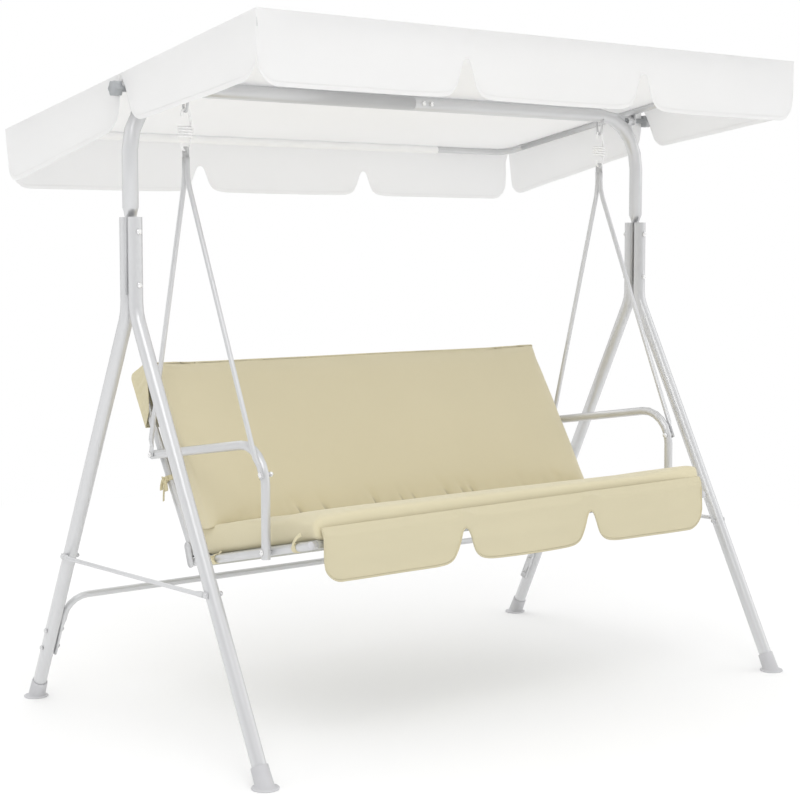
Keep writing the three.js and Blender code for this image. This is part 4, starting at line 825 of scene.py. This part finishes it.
# Hood: a cover over the top of the back, with a flap that hangs behind it and closed ends
hood = {"halfWidth": 0.7485, "frontHalf": 0.7150, "front": 0.1048, "inner": 0.0159, "outer": 0.0179, "flap": 0.127,
        "lean": 0.071, "edge": 0.013, "brow": 0.5745, "thickness": 0.0014, "clear": 0.0013}


def hoodLine():
    y, z = onBack(0.564)
    middle = (hood["inner"] + hood["outer"]) / 2
    points = []
    # the front edge turns down over the cushion's upper edge
    for k in range(7):
        angle = math.pi / 2 * k / 6
        points.append(onBack(hood["brow"] - hood["edge"] * (1 - math.sin(angle)),
                             -(hood["front"] - hood["edge"] * (1 - math.cos(angle)))))
    reach = hood["front"] - hood["edge"]
    for k in range(1, 12):
        share = k / 12
        points.append(onBack(hood["brow"] + (0.564 + middle - hood["brow"]) * share, -reach * (1 - share)))
    turn = math.pi / 2 - backSlope
    lean = math.atan2(hood["lean"], hood["flap"])
    for k in range(17):
        angle = turn - (turn + lean) * k / 16
        points.append((y + middle * math.cos(angle), z + middle * math.sin(angle)))
    last = points[-1]
    for k in range(1, 27):
        points.append((last[0] - hood["lean"] * k / 26, last[1] - hood["flap"] * k / 26))
    return points


def makeHood():
    line = hoodLine()
    steps = lengthsOf(line)
    half, length = hood["halfWidth"], steps[-1]
    loose, widen = steps[34] / length, (steps[4] / length, steps[10] / length)

    cushion = BVHTree.FromObject(backCushion, bpy.context.evaluated_depsgraph_get())

    def fitted(x, y, z):
        # drawn tight over the cushion's upper edge
        up, ahead = np.array([y, z]) - elbow
        up, ahead = (up * math.sin(backSlope) + ahead * math.cos(backSlope),
                     ahead * math.sin(backSlope) - up * math.cos(backSlope))
        turn = min(max((up - hood["brow"] + hood["edge"]) / hood["edge"], 0), 1) * math.pi / 2
        if ahead < hood["front"] - hood["edge"]:
            turn = math.pi / 2
        away = onBack(math.sin(turn), -math.cos(turn)) - elbow
        away = Vector((0, away[0], away[1]))
        start = Vector((min(max(x, -0.690), 0.690), y, z)) + away * 0.02
        hit = cushion.ray_cast(start, -away, 0.05)[0]
        if hit is None:
            return y, z
        goal = hit + away * hood["clear"]
        weight = min(max((ahead - 0.022) / 0.02, 0), 1)
        return y + (goal.y - y) * weight, z + (goal.z - z) * weight

    def cover(u, v):
        y, z = along(line, steps, v)
        y, z = fitted((2 * u - 1) * half, y, z)
        hang = max((v - loose) / (1 - loose), 0)
        share = min(max((v - widen[0]) / (widen[1] - widen[0]), 0), 1)
        reach = hood["frontHalf"] + (half - hood["frontHalf"]) * share * share * (3 - 2 * share)
        x = (2 * u - 1) * reach
        ripple = 0.005 * hang * noise.noise(Vector((x * 7, 3.1 + z * 4, 0.2)))
        crease = 0.0012 * noise.noise(Vector((x * 22 + z * 30, z * 20, 4.6))) * min(hang * 4, 1)
        return (x, y + ripple + crease, z)

    pieces = [laidGrid("hoodCover", 230, 84, cover, (2 * half, length))]
    outer = line[10:]
    outerSteps = lengthsOf(outer)
    foot = line[-1]
    inner = [line[10], onBack(0.545, -0.060), onBack(0.510, -0.050), onBack(0.477, -0.034), onBack(0.450, -0.018),
             (foot[0] - 0.002, foot[1] + 0.006)]
    innerSteps = lengthsOf(inner)
    for side in (-1, 1):
        def end(u, v):
            a = along(outer, outerSteps, v)
            b = along(inner, innerSteps, v)
            y, z = [a[i] + (b[i] - a[i]) * u for i in (0, 1)]
            wrinkle = 0.5 + 0.5 * math.sin((y * 0.8 + z) * 2 * math.pi / 0.036 + 2 * noise.noise(Vector((y * 20, z * 9, side))))
            sink = 0.0034 * math.sin(math.pi * u) * wrinkle * math.sin(math.pi * min(v * 1.2, 1))
            return (side * (half - sink), y, z)
        pieces.append(laidGrid("hoodEnd", 18, 76, end, (0.06, outerSteps[-1])))
    area = sum(areaOf(p) for p in pieces)
    piece = joinedAs("back_pocket_made", pieces)
    inEditMode(piece, merged(0.0008), outwards)
    applied(piece, "SOLIDIFY", thickness=hood["thickness"], offset=0)
    smooth(piece, 60)
    settled(piece, "hoodFabric", "seat_fabric", "seat")
    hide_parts("back_pocket")
    flat = (2 * half + 0.12, length)
    min(area, flat[0] * flat[1])
    return piece


makeHood()
print("hood drawn over the back")

# Plugs in the open ends of the side rails, and the ties that hold the cushions to the frame
plug = {"radius": 0.0107, "ends": ((0.5378, 1), (-0.0218, -1)),
        "profile": ((0.0088, -0.008), (0.0088, 0.0), (1.0, 0.0001), (1.0, 0.0018), (0.86, 0.0032), (0.45, 0.0042), (0.02, 0.0045))}
tie = {"width": 0.010, "thick": 0.0022, "tube": 0.0106, "tail": 0.046, "bow": 0.022,
       "places": (("seat_tie_front", 0.476, "seat", 0.0), ("seat_tie_rear", 0.100, "seat", 1.0),
                  ("back_tie", 0.250, "back", 1.4))}


def turned(name, start, aim, profile, around=20):
    aim = Vector(aim).normalized()
    side = aim.orthogonal().normalized()
    up = aim.cross(side)
    rows = len(profile) - 1

    def place(u, v):
        radius, height = profile[round(v * rows)]
        angle = 2 * math.pi * round(u * around) / around
        return Vector(start) + aim * height + (side * math.cos(angle) + up * math.sin(angle)) * radius

    piece = laidGrid(name, around, rows, place)
    inEditMode(piece, merged(1e-6), lambda: bpy.ops.mesh.select_non_manifold(extend=False),
               lambda: bpy.ops.mesh.edge_face_add(), lambda: bpy.ops.mesh.select_all(action="SELECT"), outwards)
    return piece


def makePlugs():
    radius = plug["radius"]
    profile = [(r if r < 0.02 and h <= 0 else r * radius, h) for r, h in plug["profile"]]
    for label, side in sides.items():
        for count, (forward, way) in enumerate(plug["ends"]):
            y, z = onSeat(forward)
            aim = (0, -way * math.cos(seatSlope), way * math.sin(seatSlope))
            cap = turned(f"rail_plug_{label}_{count + 1}", (side * 0.734, y, z), aim, profile)
            smooth(cap, 40)
            settled(cap, "foot_plastic", "foot_plastic", "seat")


def makeTie(name, middle, run, side, hang):
    run, middle = Vector(run), Vector(middle)
    out = Vector((side, 0, 0))
    up = out.cross(run) * side
    if up.z < 0:
        up = -up
    reach = tie["tube"] + tie["thick"] / 2
    band = bandSection(tie["width"], tie["thick"], 12)
    pieces = []
    for turn, shift in ((0.16, -0.0035), (-0.12, 0.0045)):  # two turns round the tube
        ring = []
        for k in range(28):
            angle = 2 * math.pi * k / 28
            ring.append(middle + out * reach * math.cos(angle) + up * reach * math.sin(angle)
                        + run * (shift + turn * reach * math.sin(angle)))
        pieces.append(swept("turn", ring, band, closed=True, upright=run))
    if not hang:  # a strap without a bow, from the cushion's lower corner
        strap = [middle + out * (reach + 0.0012) + up * 0.002]
        for ahead, rise, aside in ((0.003, 0.012, 0.0115), (0.010, 0.020, 0.0100), (0.021, 0.027, 0.0090), (0.033, 0.032, 0.0060)):
            strap.append(middle + run * ahead + up * rise + out * aside)
        pieces.append(swept("strap", strap, band, upright=run))
        band = joinedAs(name, pieces)
        smooth(band, 60)
        return settled(band, "tieFabric", "seat_fabric", "seat")
    knot = middle + out * (reach + 0.005) + up * 0.003

    def lump(u, v):
        a, b = 2 * math.pi * u, math.pi * v
        fold = 1 + 0.16 * math.sin(3 * a + 1.2) * math.sin(b) + 0.10 * math.sin(5 * b + 2 * a)
        return knot + (out * 0.0062 * math.cos(a) + run * 0.0085 * math.sin(a)) * math.sin(b) * fold + up * 0.0075 * math.cos(b) * fold

    ball = laidGrid("knot", 24, 14, lump)
    inEditMode(ball, merged(1e-5), outwards)
    pieces.append(ball)
    down = Vector((0, 0, -1))
    for lean, length in ((0.55, tie["tail"] * 0.8), (-0.35, tie["tail"])):
        tail = []
        for k in range(13):
            share = k / 12
            fall = share ** 1.3
            tail.append(knot + out * (0.004 + 0.010 * math.sin(share * 2.4)) + run * lean * length * share * (1.1 - 0.5 * share)
                        + down * (fall * length * hang * 0.8) + up * 0.010 * math.sin(share * math.pi))
        pieces.append(swept("tail", tail, band, upright=run))
    for lean in (0.9, -0.8):
        bow = []
        for k in range(17):
            angle = 2 * math.pi * k / 16
            stretch = tie["bow"] * (1 - math.cos(angle)) / 2
            bow.append(knot + run * lean * stretch + out * (0.004 + 0.006 * math.sin(angle))
                       + down * (stretch * 0.55 * hang) + up * 0.008 * math.sin(angle))
        pieces.append(swept("bow", bow, band, upright=out))
    # the sewn end comes out from under the cushion
    start = middle + up * (reach + 0.002) - out * 0.012
    lead = [start - out * 0.006 + up * 0.006, start, middle + up * (reach + 0.0015) - out * 0.004,
            middle + up * (reach + 0.001) + out * 0.003, middle + up * reach * 0.75 + out * reach * 0.75]
    pieces.append(swept("lead", lead, band, upright=run))
    bow = joinedAs(name, pieces)
    smooth(bow, 60)
    return settled(bow, "tieFabric", "seat_fabric", "seat")


def makeTies():
    for label, side in sides.items():
        for name, place, where, hang in tie["places"]:
            if where == "seat":
                y, z = onSeat(place)
                run = (0, -math.cos(seatSlope), math.sin(seatSlope))
            else:
                y, z = onBack(place)
                run = (0, math.sin(backSlope), math.cos(backSlope))
            makeTie(f"{name}_{label}", (side * 0.734, y, z), run, side, hang)


makePlugs()
makeTies()
print("plugs pressed in and ties tied")

# Canopy: one cloth, its roof between the bars and its valances hanging from the edges
canopy = {"pivot": 1.704, "slope": math.radians(9.9), "halfWidth": 0.975, "front": 0.628, "rear": 0.640,
          "rise": 0.0375, "frontDepth": 0.177, "frontNotch": 0.325, "frontRise": 0.101, "rearDepth": 0.166,
          "rearNotch": 0.320, "rearRise": 0.080, "sideDepth": 0.134, "flare": 0.026, "notchSide": 0.027,
          "corner": 0.060, "fold": 0.004, "pitch": 0.26, "slit": 0.004, "rearSlit": 0.015, "wedge": 0.042, "rearWedge": 0.014, "thickness": 0.0012, "sag": 0.006,
          "sleeve": {"place": 0.609, "rise": 0.0250, "radius": 0.0118, "from": -0.845, "to": 0.610}}


def onRoof(toRear, rise):
    slope = canopy["slope"]
    return (toRear * math.cos(slope) + rise * math.sin(slope),
            canopy["pivot"] - toRear * math.sin(slope) + rise * math.cos(slope))


def roofPlace(u, v):
    x = (2 * u - 1) * canopy["halfWidth"]
    toRear = -canopy["front"] + v * (canopy["front"] + canopy["rear"])
    drop = canopy["sag"] * max(math.sin(math.pi * u), 0) ** 0.8 * max(math.sin(math.pi * v), 0) ** 0.8
    drop += 0.0016 * noise.noise(Vector((x * 2.2, toRear * 3.0, 5.2))) * min(8 * u * (1 - u), 1) * min(8 * v * (1 - v), 1)
    y, z = onRoof(toRear, canopy["rise"] - drop)
    return (x, y, z)


def endPlace(toRear, depth, notchPlace, notchRise, outward):
    reach, top = onRoof(toRear, canopy["rise"])
    half = canopy["halfWidth"]
    slit = canopy["slit" if outward < 0 else "rearSlit"]

    def bottom(x):
        inner = half - slit
        notch = max(notchRise * arch(x - side * notchPlace, canopy["notchSide"], canopy["notchSide"])
                    for side in (-1, 1))
        return top - depth + max(notch, roundEnd(inner - abs(x), canopy["corner"]))

    def place(u, v):
        x = (2 * u - 1) * half
        inner = min(abs(x), half - slit * min(v * 3, 1))
        x = math.copysign(inner, x)
        fold = canopy["fold"] * v * (1 + math.cos(2 * math.pi * x / canopy["pitch"])) / 2
        ripple = 0.003 * noise.noise(Vector((x * 4.5, v * 1.5, outward * 3.0))) * min(v * 2, 1)
        return (x, reach - outward * (fold + ripple + 0.0004), top + (bottom(x) - top) * v)
    return place


def sidePlace(side, start, end, farEdge):
    middle = (start + end) / 2

    def place(u, v):
        # the front half's edge slants away from the pivot
        near = end - v * canopy["wedge" if end < 0 else "rearWedge"]
        reach = start + (near - start) * u
        top = canopy["pivot"] + (canopy["rise"] - reach * math.sin(canopy["slope"])) / math.cos(canopy["slope"])
        flare = canopy["flare"] * abs(reach / farEdge)
        gone = roundEnd(min(reach - start, near - reach), canopy["corner"])
        low = top - canopy["sideDepth"] - flare + gone
        fold = canopy["fold"] * v * (math.cos(2 * math.pi * (reach - middle) / canopy["pitch"]) - 1) / 2
        ripple = 0.003 * noise.noise(Vector((reach * 5.0, v * 1.6, 7.0 + side))) * min(v * 2, 1)
        return (side * (canopy["halfWidth"] - 0.0004 + fold * v + ripple * v), reach, top + (low - top) * v)
    return place


def makeCanopy():
    half = canopy["halfWidth"]
    frontEdge, rearEdge = onRoof(-canopy["front"], canopy["rise"])[0], onRoof(canopy["rear"], canopy["rise"])[0]
    length = canopy["front"] + canopy["rear"]
    pieces = [laidGrid("roof", 120, 76, roofPlace, (2 * half, length), lift=1.0)]
    for name, toRear, depth, notchPlace, notchRise, outward in (
            ("frontValance", -canopy["front"], canopy["frontDepth"], canopy["frontNotch"], canopy["frontRise"], -1),
            ("rearValance", canopy["rear"], canopy["rearDepth"], canopy["rearNotch"], canopy["rearRise"], 1)):
        hang = endPlace(toRear, depth, notchPlace, notchRise, outward)
        pieces.append(laidGrid(name, 500, 22, lambda u, v: hang(u, 1 - v), (2 * half, depth)))
    slit = canopy["slit"]
    for side in (-1, 1):
        for start, end, edge in ((frontEdge + 0.0005, -slit, frontEdge), (slit, rearEdge - 0.0005, rearEdge)):
            hang = sidePlace(side, start, end, edge)
            pieces.append(laidGrid("sideValance", 130, 22, lambda u, v: hang(u, 1 - v),
                                   (length / 2, canopy["sideDepth"])))
    # a sewn sleeve holds the rear bar over most of its length
    sleeve = canopy["sleeve"]

    def wrap(u, v):
        angle = 2 * math.pi * round(u * 20) / 20
        y, z = onRoof(sleeve["place"] + sleeve["radius"] * math.cos(angle),
                      sleeve["rise"] + sleeve["radius"] * math.sin(angle))
        return (sleeve["from"] + (sleeve["to"] - sleeve["from"]) * v, y, z)

    cover = laidGrid("canopy_sleeve", 20, 60, wrap, (0.07, sleeve["to"] - sleeve["from"]), lift=2.0)
    inEditMode(cover, merged(1e-6), outwards)
    applied(cover, "SOLIDIFY", thickness=canopy["thickness"], offset=0)
    smooth(cover, 60)
    settled(cover, "sleeveFabric", "canopy_fabric", "canopy")
    for piece in pieces:
        inEditMode(piece, outwards)
        applied(piece, "SOLIDIFY", thickness=canopy["thickness"], offset=0)
        smooth(piece, 60)
    cloth = joinedAs("canopy_cloth_made", pieces)
    settled(cloth, "canopy_fabric", "canopy_fabric", "canopy")
    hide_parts("canopy_cloth")
    return cloth


makeCanopy()
print("canopy laid over its frame")
